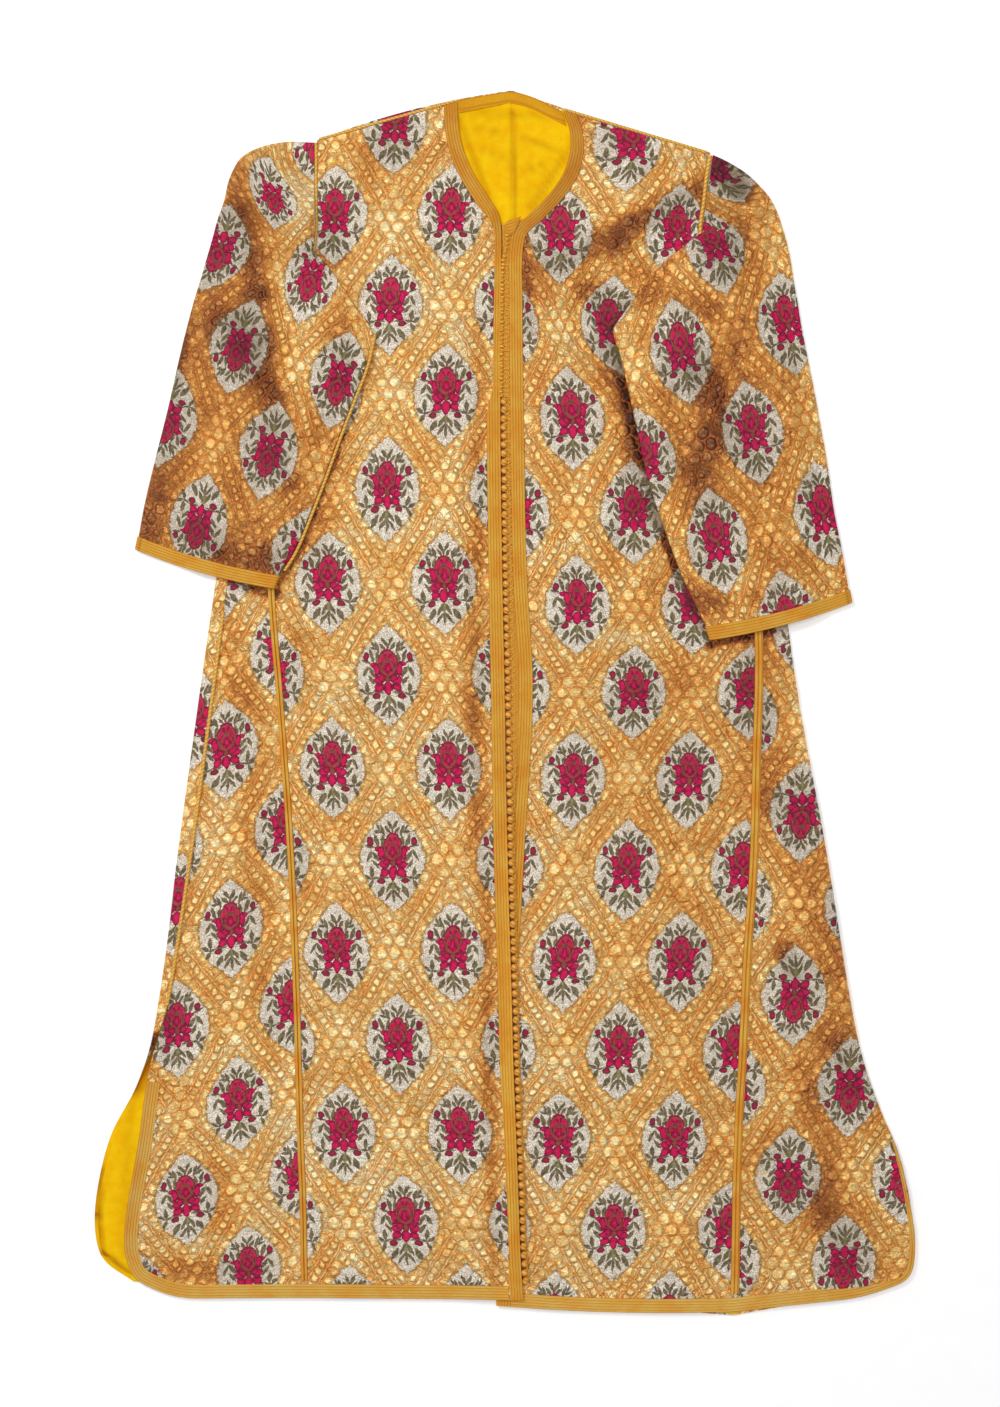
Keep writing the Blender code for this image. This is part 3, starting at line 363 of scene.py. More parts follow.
# Painted shade on the braids, and painted highlight where the amount is below zero
BRAID_SHADE_STROKES = (
    (486, 216, 456, 130, 12, -0.3), (530, 214, 582, 130, 12, -0.25),
    (590, 120, 540, 230, 34, 0.6),  # the neck
    (440, 110, 500, 232, 34, 0.4),
    (508, 840, 508, 1290, 12, -0.3),  # the fronts' lower ends
    (120, 1300, 900, 1310, 30, -0.14),  # the hem
    (146, 1080, 124, 1250, 20, 0.3),  # and its left side
)
# Painted shade on the left sleeve, and painted highlight where the amount is below zero
SLEEVE_LEFT_SHADE_STROKES = (
    (330, 236, 300, 262, 22, 0.5), (250, 330, 280, 352, 26, 0.35),
    (196, 210, 172, 400, 14, 0.5),  # painted shade on the fold's edge
    (236, 548, 254, 552, 16, -0.3), (312, 548, 322, 556, 10, -0.3), (336, 320, 340, 330, 12, -0.4),
    (256, 200, 270, 206, 14, -0.3), (232, 190, 150, 520, 84, 0.58), (190, 540, 290, 572, 30, 0.6),
    (244, 214, 258, 290, 24, 0.5), (258, 300, 268, 390, 30, 0.65), (262, 420, 250, 540, 60, 0.5),
    (160, 470, 146, 540, 26, 0.25), (225, 330, 255, 372, 32, 0.45), (338, 326, 350, 392, 18, 0.5),
    (268, 430, 288, 480, 24, 0.3), (318, 228, 334, 262, 18, 0.9), (240, 320, 246, 372, 22, 0.5),
    (282, 400, 276, 460, 24, 0.35), (204, 530, 214, 556, 24, 0.4), (340, 330, 290, 560, 34, 0.35),
    (262, 178, 322, 200, 24, -0.35), (300, 215, 320, 240, 22, -0.3), (236, 150, 262, 168, 18, -0.3),
)
# Painted shade on the right sleeve, and painted highlight where the amount is below zero
SLEEVE_RIGHT_SHADE_STROKES = (
    (670, 366, 690, 376, 20, 0.4), (650, 330, 664, 366, 20, 0.3), (690, 552, 704, 566, 20, 0.5),
    (724, 590, 756, 584, 18, -0.35), (706, 250, 716, 280, 18, 0.4), (800, 260, 812, 300, 20, 0.3),
    (722, 120, 770, 180, 30, 0.3), (720, 200, 770, 560, 92, 0.42), (660, 392, 706, 500, 40, 0.45),
    (622, 372, 640, 450, 12, 0.5),  # beside its inner edge
    (650, 490, 706, 626, 12, 0.2), (716, 378, 724, 420, 14, 0.5), (712, 150, 740, 190, 22, 1.6),
    (700, 360, 714, 430, 30, 0.3), (652, 470, 662, 490, 14, 0.3), (640, 292, 700, 312, 26, 0.35),
    (704, 170, 736, 190, 16, 0.8), (716, 430, 700, 470, 30, 0.45), (690, 600, 780, 590, 20, 0.3),
    (690, 350, 700, 400, 24, 0.45), (664, 440, 690, 520, 26, 0.3), (690, 590, 730, 616, 22, 0.3),
    (690, 210, 640, 300, 26, 0.45), (742, 230, 716, 260, 24, 0.4), (840, 500, 846, 580, 22, 0.4),
    (730, 440, 760, 480, 24, 0.25),
)
# Painted shade on the lining
LINING_SHADE_STROKES = (
    (513, 112, 515, 226, 4, 0.6), (458, 118, 500, 226, 7, 0.55), (582, 130, 530, 210, 7, 0.5),
    (460, 112, 590, 118, 8, 0.4), (470, 128, 504, 134, 4, 0.4), (480, 150, 508, 160, 4, 0.35),
    (520, 138, 560, 150, 4, 0.4), (524, 170, 548, 164, 4, 0.35), (470, 110, 560, 220, 40, 0.12),
    (132, 1090, 122, 1260, 9, 0.3),
    (156, 1040, 134, 1084, 18, 1.7),  # above the lobe
    (124, 1090, 102, 1150, 5, 1.0),  # its edge
    (102, 1150, 97, 1215, 5, 1.0), (97, 1215, 103, 1252, 5, 1.0), (103, 1252, 132, 1274, 5, 1.0),
    (96, 1172, 116, 1166, 5, 0.25), (98, 1206, 118, 1200, 4, 0.25), (112, 1110, 128, 1104, 5, 0.2),
)

# ---------------------------------------------------------------- curves


def gaps_of(table):
    rows = np.array(table, float)
    return np.maximum(1.0, np.hypot(*(rows[1:, :2] - rows[:-1, :2]).T))


def counted(table, pitch=PITCH):
    """How many steps spread() takes between the rows of this table."""
    return [max(1, math.ceil(gap / pitch)) for gap in gaps_of(table)]


def spread(table, pitch=PITCH, counts=None):
    """The table's rows on one smooth curve, about pitch apart or by the given counts."""
    rows, gaps = np.array(table, float), gaps_of(table)
    place = np.concatenate(([0.0], np.cumsum(gaps)))
    slopes = np.empty_like(rows)
    slopes[1:-1] = (rows[2:] - rows[:-2]) / (place[2:] - place[:-2])[:, None]
    slopes[0] = (rows[1] - rows[0]) / gaps[0]
    slopes[-1] = (rows[-1] - rows[-2]) / gaps[-1]
    made = []
    for i, count in enumerate(counts or counted(table, pitch)):
        t = (np.arange(count) / count)[:, None]
        made.append(
            (1 + 2 * t) * (1 - t) ** 2 * rows[i]
            + t * t * (3 - 2 * t) * rows[i + 1]
            + t * (1 - t) ** 2 * gaps[i] * slopes[i]
            - t * t * (1 - t) * gaps[i] * slopes[i + 1]
        )
    return np.concatenate(made + [rows[-1:]])


def ease(t):
    t = np.clip(t, 0.0, 1.0)
    return t * t * (3 - 2 * t)


def down(line, y):
    """x at y on a line of (x, y) that runs from high to low."""
    line = np.asarray(line, float)
    return np.interp(-np.asarray(y, float), -line[:, 1], line[:, 0])


def row_width(rows):
    return np.hypot(*(rows[:, 2:4] - rows[:, :2]).T)


def run_of(line):
    """How far along a line each of its points lies."""
    return np.concatenate([[0], np.cumsum(np.linalg.norm(np.diff(line, axis=0), axis=1))])


def stroke(x, y, x0, y0, x1, y1):
    """(distance, share along) of points from the line from x0, y0 to x1, y1."""
    dx, dy = x1 - x0, y1 - y0
    t = np.clip(((x - x0) * dx + (y - y0) * dy) / (dx * dx + dy * dy + 1e-9), 0, 1)
    return np.hypot(x - x0 - dx * t, y - y0 - dy * t), t


def ridges(folds, x, y):
    """How far soft folds lift the cloth."""
    rise = np.zeros_like(x)
    for *ends, half, height in folds:
        distance, t = stroke(x, y, *ends)
        taper = 0.35 + 0.65 * np.sin(math.pi * np.clip(t, 0.15, 0.85))
        rise += height * taper * ease(1 - distance / (1.6 * half))
    return rise


def pixels(x, y):
    """Plan points as pixels of the photograph."""
    return x / PIXEL + PHOTO_MIDDLE[0], PHOTO_MIDDLE[1] - y / PIXEL


def painted_shading(x, y, strokes):
    """Painted shade on the cloth, from strokes: soft dark stretches, and a painted highlight where it is
    below zero.
    """
    px, py = pixels(x, y)
    total = np.zeros_like(x)
    for *ends, half, amount in strokes:
        distance, t = stroke(px, py, *ends)
        total += amount * ease(1 - distance / half) * (0.6 + 0.4 * np.sin(math.pi * np.clip(t, 0.2, 0.8)))
    return np.clip(total, -1, 1.7)


def ripple(x, y, seed, size=1.0):
    """A calm uneven surface between about -1 and 1, the same each run."""
    rng = np.random.default_rng(seed)
    total = np.zeros_like(x)
    for _ in range(22):
        wave = 2 * math.pi / (size * rng.uniform(26, 95))
        angle, phase = rng.uniform(0, 2 * math.pi, 2)
        total += np.sin((x * math.cos(angle) + y * math.sin(angle)) * wave + phase)
    return total / 8


def crinkles(x, y, seed, coarse, fine):
    """Two sizes of ripple, with their heights."""
    return coarse * ripple(x, y, seed) + fine * ripple(x, y, seed + 1, 0.36)


# ---------------------------------------------------------------- the body's surface

# By whether it is the left one
TAGS = {True: "left", False: "right"}
FRONTS = {True: FRONT_LEFT, False: FRONT_RIGHT}
GORES = {True: GORE_LEFT, False: GORE_RIGHT}
BODY_SIDES = {True: BODY_SIDE_LEFT, False: BODY_SIDE_RIGHT}
EDGE = {left: spread(table) for left, table in FRONTS.items()}
SIDE = {True: np.array(BACK_GORE_LEFT)[:, 1:3], False: np.array(GORE_RIGHT)}


def side_puff(x, y):
    """The soft rise of the cloth towards the side folds."""
    rise = np.zeros_like(x)
    for left, end in PUFF_END.items():
        amount = ease((PUFF_TOP - y) / 110) * ease((y - end) / 80)
        rise += PUFF_HEIGHT * amount * ease(1 - np.abs(x - down(SIDE[left], y)) / PUFF_REACH)
    return rise


def body_top(x, y, left, fine=True):
    """Height of the top of the fronts and their gores."""
    x, y = np.asarray(x, float), np.asarray(y, float)
    edge = down(EDGE[left], y)
    off_braid = np.abs(x - edge) - BRAID_WIDTH
    lift = ridges(BODY_FOLDS + BODY_CREASES if fine else BODY_FOLDS, x, y) * ease(off_braid / FOLD_MARGIN)
    if fine:
        lift += crinkles(x, y, 3, 1.3, 0.85) * ease(off_braid / CREASE_MARGIN)
    z = FRONT_TOP + (lift + side_puff(x, y)) * ease((y - HEM_CALM_FROM) / HEM_CALM_OVER)
    if left:
        across = 1 - (edge - x - BRAID_WIDTH) / LAP_SLOPE
        z += LAP_LIFT * ease((LAP_FROM - y) / (LAP_FROM - LAP_TO)) * ease(across)
    return z


def on_front(left, fine=True):
    return lambda x, y: body_top(x, y, left, fine)


# ---------------------------------------------------------------- meshes


def build(name, points, faces, uv, tone=None, materials=(), picks=None):
    """A mesh object from points. uv and tone, the painted shade, are for each point, picks a material for
    each face.
    """
    mesh = bpy.data.meshes.new(name)
    mesh.from_pydata((np.asarray(points) * MM).tolist(), [], faces)
    corners = np.empty(len(mesh.loops), dtype=np.int32)
    mesh.loops.foreach_get("vertex_index", corners)
    layer = mesh.uv_layers.new(name="cloth")
    layer.data.foreach_set("uv", np.asarray(uv, np.float32)[corners].ravel())
    if tone is not None:
        shade = mesh.attributes.new("tone", "FLOAT", "POINT")
        shade.data.foreach_set("value", np.asarray(tone, np.float32).ravel())
    for material in materials:
        mesh.materials.append(material)
    if picks is not None:
        mesh.polygons.foreach_set("material_index", np.asarray(picks, np.int32))
    mesh.validate()
    mesh.shade_smooth()
    mesh.set_sharp_from_angle(angle=math.radians(60))
    made = bpy.data.objects.new(name, mesh)
    bpy.context.scene.collection.objects.link(made)
    return made


def dress(made, node):
    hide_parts(node)
    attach(made, "root")
    return made


def grid_faces(rows, columns, start=0, wrap=False, flip=False):
    """Quads over a grid of points, closed across its columns if wrap is set."""
    i, j = np.meshgrid(np.arange(rows - 1), np.arange(columns if wrap else columns - 1), indexing="ij")
    a, b = i * columns + j, i * columns + (j + 1) % columns
    quads = np.stack([a, a + columns, b + columns, b], -1).reshape(-1, 4) + start
    return (quads[:, ::-1] if flip else quads).tolist()


def outwards(points, faces):
    """The faces, turned so that a closed mesh's volume is above zero."""
    p = np.asarray(points)
    fans = np.array([(f[0], f[k], f[k + 1]) for f in faces for k in range(1, len(f) - 1)])
    a, b, c = p[fans[:, 0]], p[fans[:, 1]], p[fans[:, 2]]
    total = np.einsum("ij,ij->", a, np.cross(b, c))
    return faces if total > 0 else [tuple(reversed(f)) for f in faces]


def shell_of(name, top, low, uv, tone, material, under=None, wrap=False):
    """A closed thin shell between two grids of points: a sheet, or an open tube if wrap is set."""
    rows, columns = top.shape[:2]
    shift = rows * columns
    first, last = list(range(columns)), [shift - columns + j for j in range(columns)]
    if wrap:
        rims = [first[::-1], last]
    else:
        sides = [[i * columns + j for i in range(1, rows - 1)] for j in (0, columns - 1)]
        rims = [first + sides[1] + last[::-1] + sides[0][::-1]]
    outside = grid_faces(rows, columns, wrap=wrap)
    inside = grid_faces(rows, columns, shift, wrap, flip=True)
    band = [(a, b, shift + b, shift + a) for rim in rims for a, b in zip(rim, rim[1:] + rim[:1])]
    points = np.concatenate([top.reshape(-1, 3), low.reshape(-1, 3)])
    picks = [0] * len(outside) + [1 if under else 0] * len(inside) + [0] * len(band)
    return build(
        name, points, outwards(points, outside + inside + band), np.concatenate([uv.reshape(-1, 2)] * 2),
        np.concatenate([tone.ravel()] * 2), (material, under) if under else (material,), picks,
    )


def cord_along(line, radius, sides):
    """Points, faces and uv of a round cord along a line of points, with its ends open."""
    line = np.asarray(line, float)
    way = np.gradient(line, axis=0)
    way /= np.linalg.norm(way, axis=1, keepdims=True)
    across = np.cross(way, (0, 0, 1.0))
    across /= np.linalg.norm(across, axis=1, keepdims=True)
    lift = np.cross(across, way)
    turn = np.arange(sides + 1) / sides
    a = 2 * math.pi * turn[None, :, None]
    rings = line[:, None] + radius * (across[:, None] * np.cos(a) + lift[:, None] * np.sin(a))
    u, v = np.broadcast_arrays(turn, run_of(line)[:, None])
    faces = grid_faces(len(line), sides + 1, flip=True)
    return rings.reshape(-1, 3), faces, np.stack([u, v], -1).reshape(-1, 2)


# ---------------------------------------------------------------- materials


def srgb(*seen):
    """A colour as seen on a screen, 0 to 255, in linear values."""
    shares = [value / 255 for value in seen]
    return (*[v / 12.92 if v <= 0.04045 else ((v + 0.055) / 1.055) ** 2.4 for v in shares], 1.0)


def operator(name):
    return lambda one, other: one.graph.calc(name, one, other)


class Value:
    """An output of a material's node. The usual operators add Math nodes to it."""

    def __init__(self, graph, socket):
        self.graph, self.socket = graph, socket

    def __abs__(self):
        return self.graph.calc("ABSOLUTE", self)

    def __rsub__(self, other):
        return self.graph.calc("SUBTRACT", other, self)

    __add__ = operator("ADD")
    __sub__ = operator("SUBTRACT")
    __mul__ = operator("MULTIPLY")
    __truediv__ = operator("DIVIDE")
    __pow__ = operator("POWER")


class Graph:
    """A material and short calls that add its nodes."""

    def __init__(self, name):
        self.material = bpy.data.materials.new(name)
        self.material.use_nodes = True
        self.tree = self.material.node_tree

    def feed(self, made, inputs):
        for key, value in inputs.items():
            if isinstance(value, Value):
                self.tree.links.new(value.socket, made.inputs[key])
            else:
                made.inputs[key].default_value = value

    def node(self, kind, inputs, output=0, **settings):
        """One output of a new node."""
        made = self.tree.nodes.new("ShaderNode" + kind)
        for key, value in settings.items():
            setattr(made, key, value)
        self.feed(made, inputs)
        return Value(self, made.outputs[output])

    def cloth(self):
        return self.node("UVMap", {}, uv_map="cloth")

    # the painted shade that the mesh carries, a painted highlight below zero
    def tone(self):
        return self.node("Attribute", {}, "Fac", attribute_name="tone")

    def split(self, vector):
        x = self.node("SeparateXYZ", {0: vector})
        return x, Value(self, x.socket.node.outputs[1])

    def pair(self, x, y):
        return self.node("CombineXYZ", {0: x, 1: y})

    def calc(self, operation, *values):
        return self.node("Math", dict(enumerate(values)), operation=operation)

    def wrap(self, value, half):
        return self.calc("WRAP", value, half, -half)

    def wave(self, value, length):
        return self.calc("SINE", value * (2 * math.pi / length))

    def off_middle(self, value):
        """How far a value's fraction is from a half."""
        return abs(self.calc("FRACT", value) - 0.5)

    def best(self, values):
        """The largest of several values."""
        values = list(values)
        while len(values) > 1:
            pairs = [values[i : i + 2] for i in range(0, len(values), 2)]
            values = [self.calc("MAXIMUM", *pair) if len(pair) > 1 else pair[0] for pair in pairs]
        return values[0]

    def step(self, value, low, high):
        """0 below low, 1 above high and smooth between. low may be the larger."""
        inputs = {"Value": value, "From Min": low, "From Max": high}
        return self.node("MapRange", inputs, interpolation_type="SMOOTHSTEP")

    def blend(self, share, a, b, how="MIX"):
        return self.node("Mix", {0: share, 6: a, 7: b}, 2, data_type="RGBA", blend_type=how)

    def mixed(self, share, a, b):
        """A number between a and b."""
        return self.node("Mix", {0: share, 2: a, 3: b}, data_type="FLOAT")

    def rgb(self, red, green, blue):
        return self.node("CombineColor", {0: red, 1: green, 2: blue})

    def noise(self, place, scale, detail=2.0, roughness=0.5, output="Fac", stretch=None):
        if stretch:
            place = self.node("Mapping", {"Vector": place, "Scale": (*stretch, 1.0)})
        inputs = {"Vector": place, "Scale": scale, "Detail": detail, "Roughness": roughness}
        return self.node("TexNoise", inputs, output)

    def shaken(self, place, scale, reach):
        """place, moved about by noise."""
        off = self.noise(place, scale, 1.0, output="Color")
        off = self.node("VectorMath", {0: off, 1: (0.5, 0.5, 0.5)}, operation="SUBTRACT")
        off = self.node("VectorMath", {0: off, "Scale": reach}, operation="SCALE")
        return self.node("VectorMath", {0: place, 1: off}, operation="ADD")

    def local(self, place, x, y, wide, high, turn=0.0):
        """place in the unit circle of an ellipse at x, y, turned anticlockwise."""
        inputs = {"Location": (x, y, 0.0), "Rotation": (0.0, 0.0, turn), "Scale": (wide, high, 1.0)}
        return self.node("Mapping", {"Vector": place, **inputs}, vector_type="TEXTURE")

    def petal(self, place, *ellipse):
        """1 at the middle of an ellipse and 0 on its rim."""
        unit = self.local(place, *ellipse)
        return 1.0 - self.node("VectorMath", {0: unit}, "Value", operation="LENGTH")

    def spear(self, place, x0, y0, x1, y1, wide):
        """As petal, for a leaf with its two points at x0, y0 and x1, y1."""
        long, turn = math.hypot(x1 - x0, y1 - y0) / 2, math.atan2(x0 - x1, y1 - y0)
        x, y = self.split(self.local(place, (x0 + x1) / 2, (y0 + y1) / 2, wide, long, turn))
        return 1.0 - (y * y + abs(x))

    def ramp(self, value, *stops):
        """A colour that goes through the stops, (place, colour)."""
        made = self.node("ValToRGB", {"Fac": value})
        points = made.socket.node.color_ramp.elements
        while len(points) < len(stops):
            points.new(0.5)
        for point, (at, colour) in zip(points, stops):
            point.position, point.color = at, srgb(*colour)
        return made

    def finish(self, colour, roughness, metallic, bump=None, **constants):
        """The material. bump is (height, strength, distance)."""
        inputs = {"Base Color": colour, "Roughness": roughness, "Metallic": metallic}
        if bump:
            inputs["Normal"] = self.node("Bump", dict(zip(("Height", "Strength", "Distance"), bump)))
        inputs.update((key.replace("_", " "), value) for key, value in constants.items())
        self.feed(self.tree.nodes["Principled BSDF"], inputs)
        return self.material


def brocade():
    """Gold brocade: a lattice of beaded bands, scales, and rose bouquets on silver, with painted light and
    shade in the colour of its thread.
    """
    g = Graph("brocade")
    place = g.shaken(g.shaken(g.cloth(), 0.035, 5.0), 0.2, 3.4)
    u, v = g.split(place)

    # the nearest medallion of the two that share the half-drop repeat
    half_w, half_h = REPEAT_WIDE / 2, REPEAT_HIGH / 2
    xa, ya = g.wrap(u, half_w), g.wrap(v, half_h)
    xb, yb = g.wrap(u + half_w, half_w), g.wrap(v + half_h, half_h)
    first = g.calc("LESS_THAN", abs(ya) / half_h + abs(xa) / half_w, 1.0)
    x, y = abs(g.mixed(first, xb, xa)), g.mixed(first, yb, ya)
    y_out = abs(y)

    # the beaded band along the lattice
    side = math.hypot(half_w, half_h)
    pitch = side / 14
    off_band = (1.0 - (y_out / half_h + x / half_w)) / math.hypot(1 / half_w, 1 / half_h)
    on_band = x * (half_w / side) + (y_out * (-half_h / side) + half_h * half_h / side)
    bead = g.off_middle(on_band / pitch) * pitch
    bead_far = (bead ** 3.0 + off_band ** 3.0) ** (1 / 3)
    off_line = abs(off_band - 6.2)

    # round spots where bands cross
    upper = g.calc("GREATER_THAN", y_out / half_h, 0.5)
    vx, vy = g.mixed(upper, half_w - x, x), g.mixed(upper, y_out, half_h - y_out)
    in_cross = g.step((vy + vx) / 33.0, 0.97, 0.92)
    spots = []
    for move_x, move_y in ((0.0, 0.0), (7.6, 13.2)):
        qx, qy = g.wrap(vx + move_x, 7.6), g.wrap(vy + move_y, 13.2)
        spots.append(g.calc("SQRT", qx * qx + qy * qy))
    spot_far = g.calc("MINIMUM", *spots)
    cells = {"Location": (0.0, -0.26, 0.0), "Scale": (11 / side, 1 / 10.4, 1.0)}
    cells = g.node("Mapping", {"Vector": g.pair(on_band, off_band), **cells})
    scale_in = g.node(
        "TexVoronoi", {"Vector": cells, "Scale": 1.0, "Randomness": 0.5}, "Distance",
        feature="DISTANCE_TO_EDGE", voronoi_dimensions="2D",
    )

    def round_metal(distance, radius, where):
        """Where the metal of a round lies, and its rise from the rim to the middle."""
        on = g.step(distance, radius + 0.4, radius - 0.3) * where
        return on, on * g.step(distance, radius + 0.5, radius * 0.55)

    field = 1.0 - in_cross
    in_band = g.step(off_band, 5.4, 5.0) * field
    out_field = g.step(off_band, 7.0, 7.5) * field
    beads_on, bead_dome = round_metal(bead_far, 4.1, in_band)
    spots_on, spot_dome = round_metal(spot_far, 7.0, in_cross)
    metal_on = g.best([beads_on, spots_on, g.step(scale_in, 0.03, 0.07) * out_field])
    dome = g.best([bead_dome, spot_dome, g.step(scale_in, 0.03, 0.34) * out_field])
    line = g.step(off_line, 1.15, 0.6) * field
    # patches where the thread is crumpled and the rounds are lost
    crumpled = g.step(g.noise(place, 0.026), 0.5, 0.62) * 0.55
    crumple = g.step(g.noise(place, 0.26, 3.0, 0.7), 0.42, 0.56)
    metal_on = g.mixed(crumpled, metal_on, crumple)
    dome = g.mixed(crumpled, dome, crumple * 0.7)

    def rim(distance, radius, half, where):
        """A thin shadowed thread round a spot, a bead or a line."""
        return g.step(abs(distance - radius), half, half / 4) * where * 0.9

    rims = g.best([
        rim(spot_far, 7.4, 0.8, in_cross), rim(bead_far, 4.5, 0.7, in_band),
        g.step(scale_in, 0.085, 0.025) * out_field, rim(off_line, 1.5, 0.6, field),
    ])

    # the silver medallion with its ragged edge
    grain = g.noise(place, 0.8, 2.0, 0.7)
    rise = y / MEDALLION_HIGH
    size = (g.noise(place, 0.24, 2.0, 0.6) - 0.5) * 0.3 + (rise * rise + x / MEDALLION_WIDE)
    silver = g.step(size, 1.02, 0.96)
    silver_rim = g.step(abs(size - 1.04), 0.06, 0.02)

    # the bouquet, from its right half
    flat = g.pair(x, y)
    wobble = (g.noise(place, 0.6, 1.0) - 0.5) * 0.36
    rose = g.best([g.petal(flat, *p) for p in PETALS] + [g.spear(flat, *p) for p in TIPS])
    rose_on = g.step(rose + wobble, 0.02, 0.1)
    buds = g.best(g.petal(flat, *p) for p in BUDS)
    buds_on = g.step(buds, 0.0, 0.12)
    leaves_on = g.step(g.best(g.spear(flat, *p) for p in LEAVES) + wobble, 0.0, 0.2)
    calyx_on = g.step(g.petal(flat, *CALYX), 0.0, 0.2)
    heart_on = g.step(g.petal(flat, *GOLD_HEART) + wobble, 0.0, 0.3)

    def ring(x0, y0, wide, high, width):
        """The rim of an ellipse, drawn with a width."""
        return g.step(abs(g.petal(flat, x0, y0, wide, high)), width, width * 0.4)

    veins = g.best(ring(*p) for p in VEINS) * rose_on
    seams = g.best(ring(*p, 0.2) for p in PETALS[1:8]) * g.step(rose, 0.12, 0.3)

    # how the metal thread catches the light, painted into its colour: painted shade and highlight from the
    # mesh's tone, and painted patches of light and shade from noise
    tone = g.tone()
    painted_light_patches = g.noise(place, 0.021, 3.0, 0.62)
    pucker = g.noise(place, 0.09, 2.0, 0.55, stretch=(1.0, 1.6))
    painted_glints = g.noise(place, 0.75, 2.0, 0.7, stretch=(0.5, 1.0))
    # how dark the thread is painted, 0 lit and 1 in shade: painted shade from the mesh's tone and the
    # puckers, painted glints, and painted highlights on the middles of the domes
    painted_shade_level = (painted_light_patches - 0.5) * 0.9 + (pucker - 0.5) * 0.5 + (painted_glints - 0.5) * 0.65
    painted_shade_level = painted_shade_level + tone * 0.74 - dome * 0.14 + 0.3
    # the metal and the silk, from their lit colour to their painted shade
    metal = g.ramp(
        painted_shade_level, (0.0, (255, 238, 186)), (0.25, (255, 212, 130)), (0.5, (246, 172, 86)),
        (0.75, (170, 108, 66)), (1.0, (100, 58, 42)),
    )
    silk = g.ramp(painted_shade_level, (0.0, (255, 176, 76)), (0.5, (246, 148, 48)), (1.0, (222, 116, 32)))
    colour = g.blend(metal_on, g.blend(0.5, silk, metal), metal)
    colour = g.blend(line * 0.9, colour, g.blend(0.8, silk, metal))
    colour = g.blend(rims * 0.78, colour, g.blend(painted_shade_level, srgb(212, 122, 40), srgb(178, 90, 28)))
    argent = g.blend(g.step(grain, 0.36, 0.56), srgb(164, 142, 116), srgb(255, 246, 230))
    argent = g.blend(painted_shade_level * 0.5, argent, srgb(158, 130, 98))
    colour = g.blend(silver_rim * 0.5, colour, srgb(150, 112, 62))
    colour = g.blend(silver, colour, argent)
    sage = g.blend(g.step(g.noise(place, 0.3), 0.35, 0.65), srgb(74, 64, 36), srgb(124, 106, 68))
    colour = g.blend(leaves_on * 0.94, colour, sage)
    colour = g.blend(calyx_on * 0.8, colour, srgb(112, 104, 46))
    bud = g.ramp(buds + wobble, (0.0, (84, 62, 38)), (0.3, (116, 34, 50)), (0.8, (178, 14, 66)))
    colour = g.blend(buds_on, colour, bud)
    petals = g.ramp(
        rose + wobble * 0.6, (0.0, (92, 12, 38)), (0.18, (140, 0, 54)), (0.42, (194, 0, 76)),
        (1.0, (218, 0, 90)),
    )
    petals = g.blend(seams * 0.8, petals, srgb(84, 8, 34))
    silks = g.noise(place, 1.1, 2.0, 0.6, stretch=(1.0, 0.35))
    petals = g.blend(g.step(silks, 0.5, 0.7) * 0.45, petals, srgb(236, 24, 88))
    colour = g.blend(rose_on, colour, petals)
    colour = g.blend(g.best([veins, heart_on]) * 0.75, colour, srgb(136, 84, 52))
    # painted shade from the mesh's tone over every colour, deeper on the roses
    shade = 1.0 - tone * 0.22 - rose_on * tone * 0.16
    colour = g.blend(1.0, colour, g.rgb(shade, shade, shade), "MULTIPLY")

    # relief: domed spots, raised lines, the ribs of the weave and small puckers
    relief = g.mixed(silver, line * 1.1 + dome * 1.3, grain * 0.35 + 0.55)
    relief = relief + g.wave(v, 0.9) * 0.05 + pucker * 3.6
    glint = 1.0 - g.best([rose_on, buds_on, leaves_on, silver * 0.45])
    metallic = (metal_on * 0.25 + 0.35) * glint
    rough = grain * 0.16 + 0.5 - glint * 0.12
    return g.finish(colour, rough, metallic, (relief, 1.0, 0.0013), Specular_IOR_Level=0.3)


def woven_braid(name, ribs, *tones):
    """Silk braid: chevrons of thread between lengthwise ribs. u is across in millimetres, v along."""
    deep, bright, shadow = (srgb(*tone) for tone in tones)
    g = Graph(name)
    u, v = g.split(g.cloth())
    rib = g.off_middle(u / ribs)
    plait = g.wave(rib * 1.7 + v / 1.5, 1.0)
    groove = g.step(rib, 0.33, 0.5)
    fibre = g.noise(g.cloth(), 1.3, 3.0, 0.6, stretch=(1.0, 0.12))
    colour = g.blend(g.step(g.noise(g.cloth(), 0.03), 0.3, 0.7), deep, bright)
    colour = g.blend(0.6, colour, g.blend(fibre, srgb(158, 146, 122), srgb(255, 252, 244)), "MULTIPLY")
    colour = g.blend(groove * 0.95, colour, shadow)
    colour = g.blend(g.step(plait, 0.1, -1.0) * 0.34, colour, shadow)
    # painted shade from the mesh's tone, warmer as it deepens, and a painted highlight where the tone is
    # below zero
    painted_braid_shade = g.rgb(*(1.0 - g.tone() * by for by in (0.34, 0.5, 0.6)))
    colour = g.blend(1.0, colour, painted_braid_shade, "MULTIPLY")
    relief = plait * 0.45 + fibre * 0.5 - groove
    return g.finish(colour, fibre * 0.2 + 0.42, 0.15, (relief, 0.7, 0.0005), Specular_IOR_Level=0.25)


def twisted_cord(name, turn, sheen, *tones):
    """A cord laid of two strands. u is the share round it and v the length in millimetres."""
    deep, bright, shadow = (srgb(*tone) for tone in tones)
    g = Graph(name)
    u, v = g.split(g.cloth())
    groove = g.step(g.off_middle(v / turn + u * 2.0), 0.3, 0.5)
    fibre = g.noise(g.cloth(), 2.0, 2.0, 0.6)
    colour = g.blend(groove * 0.55, g.blend(fibre, deep, bright), shadow)
    relief = fibre * 0.3 - groove
    return g.finish(colour, 0.5, 0.15, (relief, 0.7, 0.0006), Sheen_Weight=sheen, Sheen_Roughness=0.4)


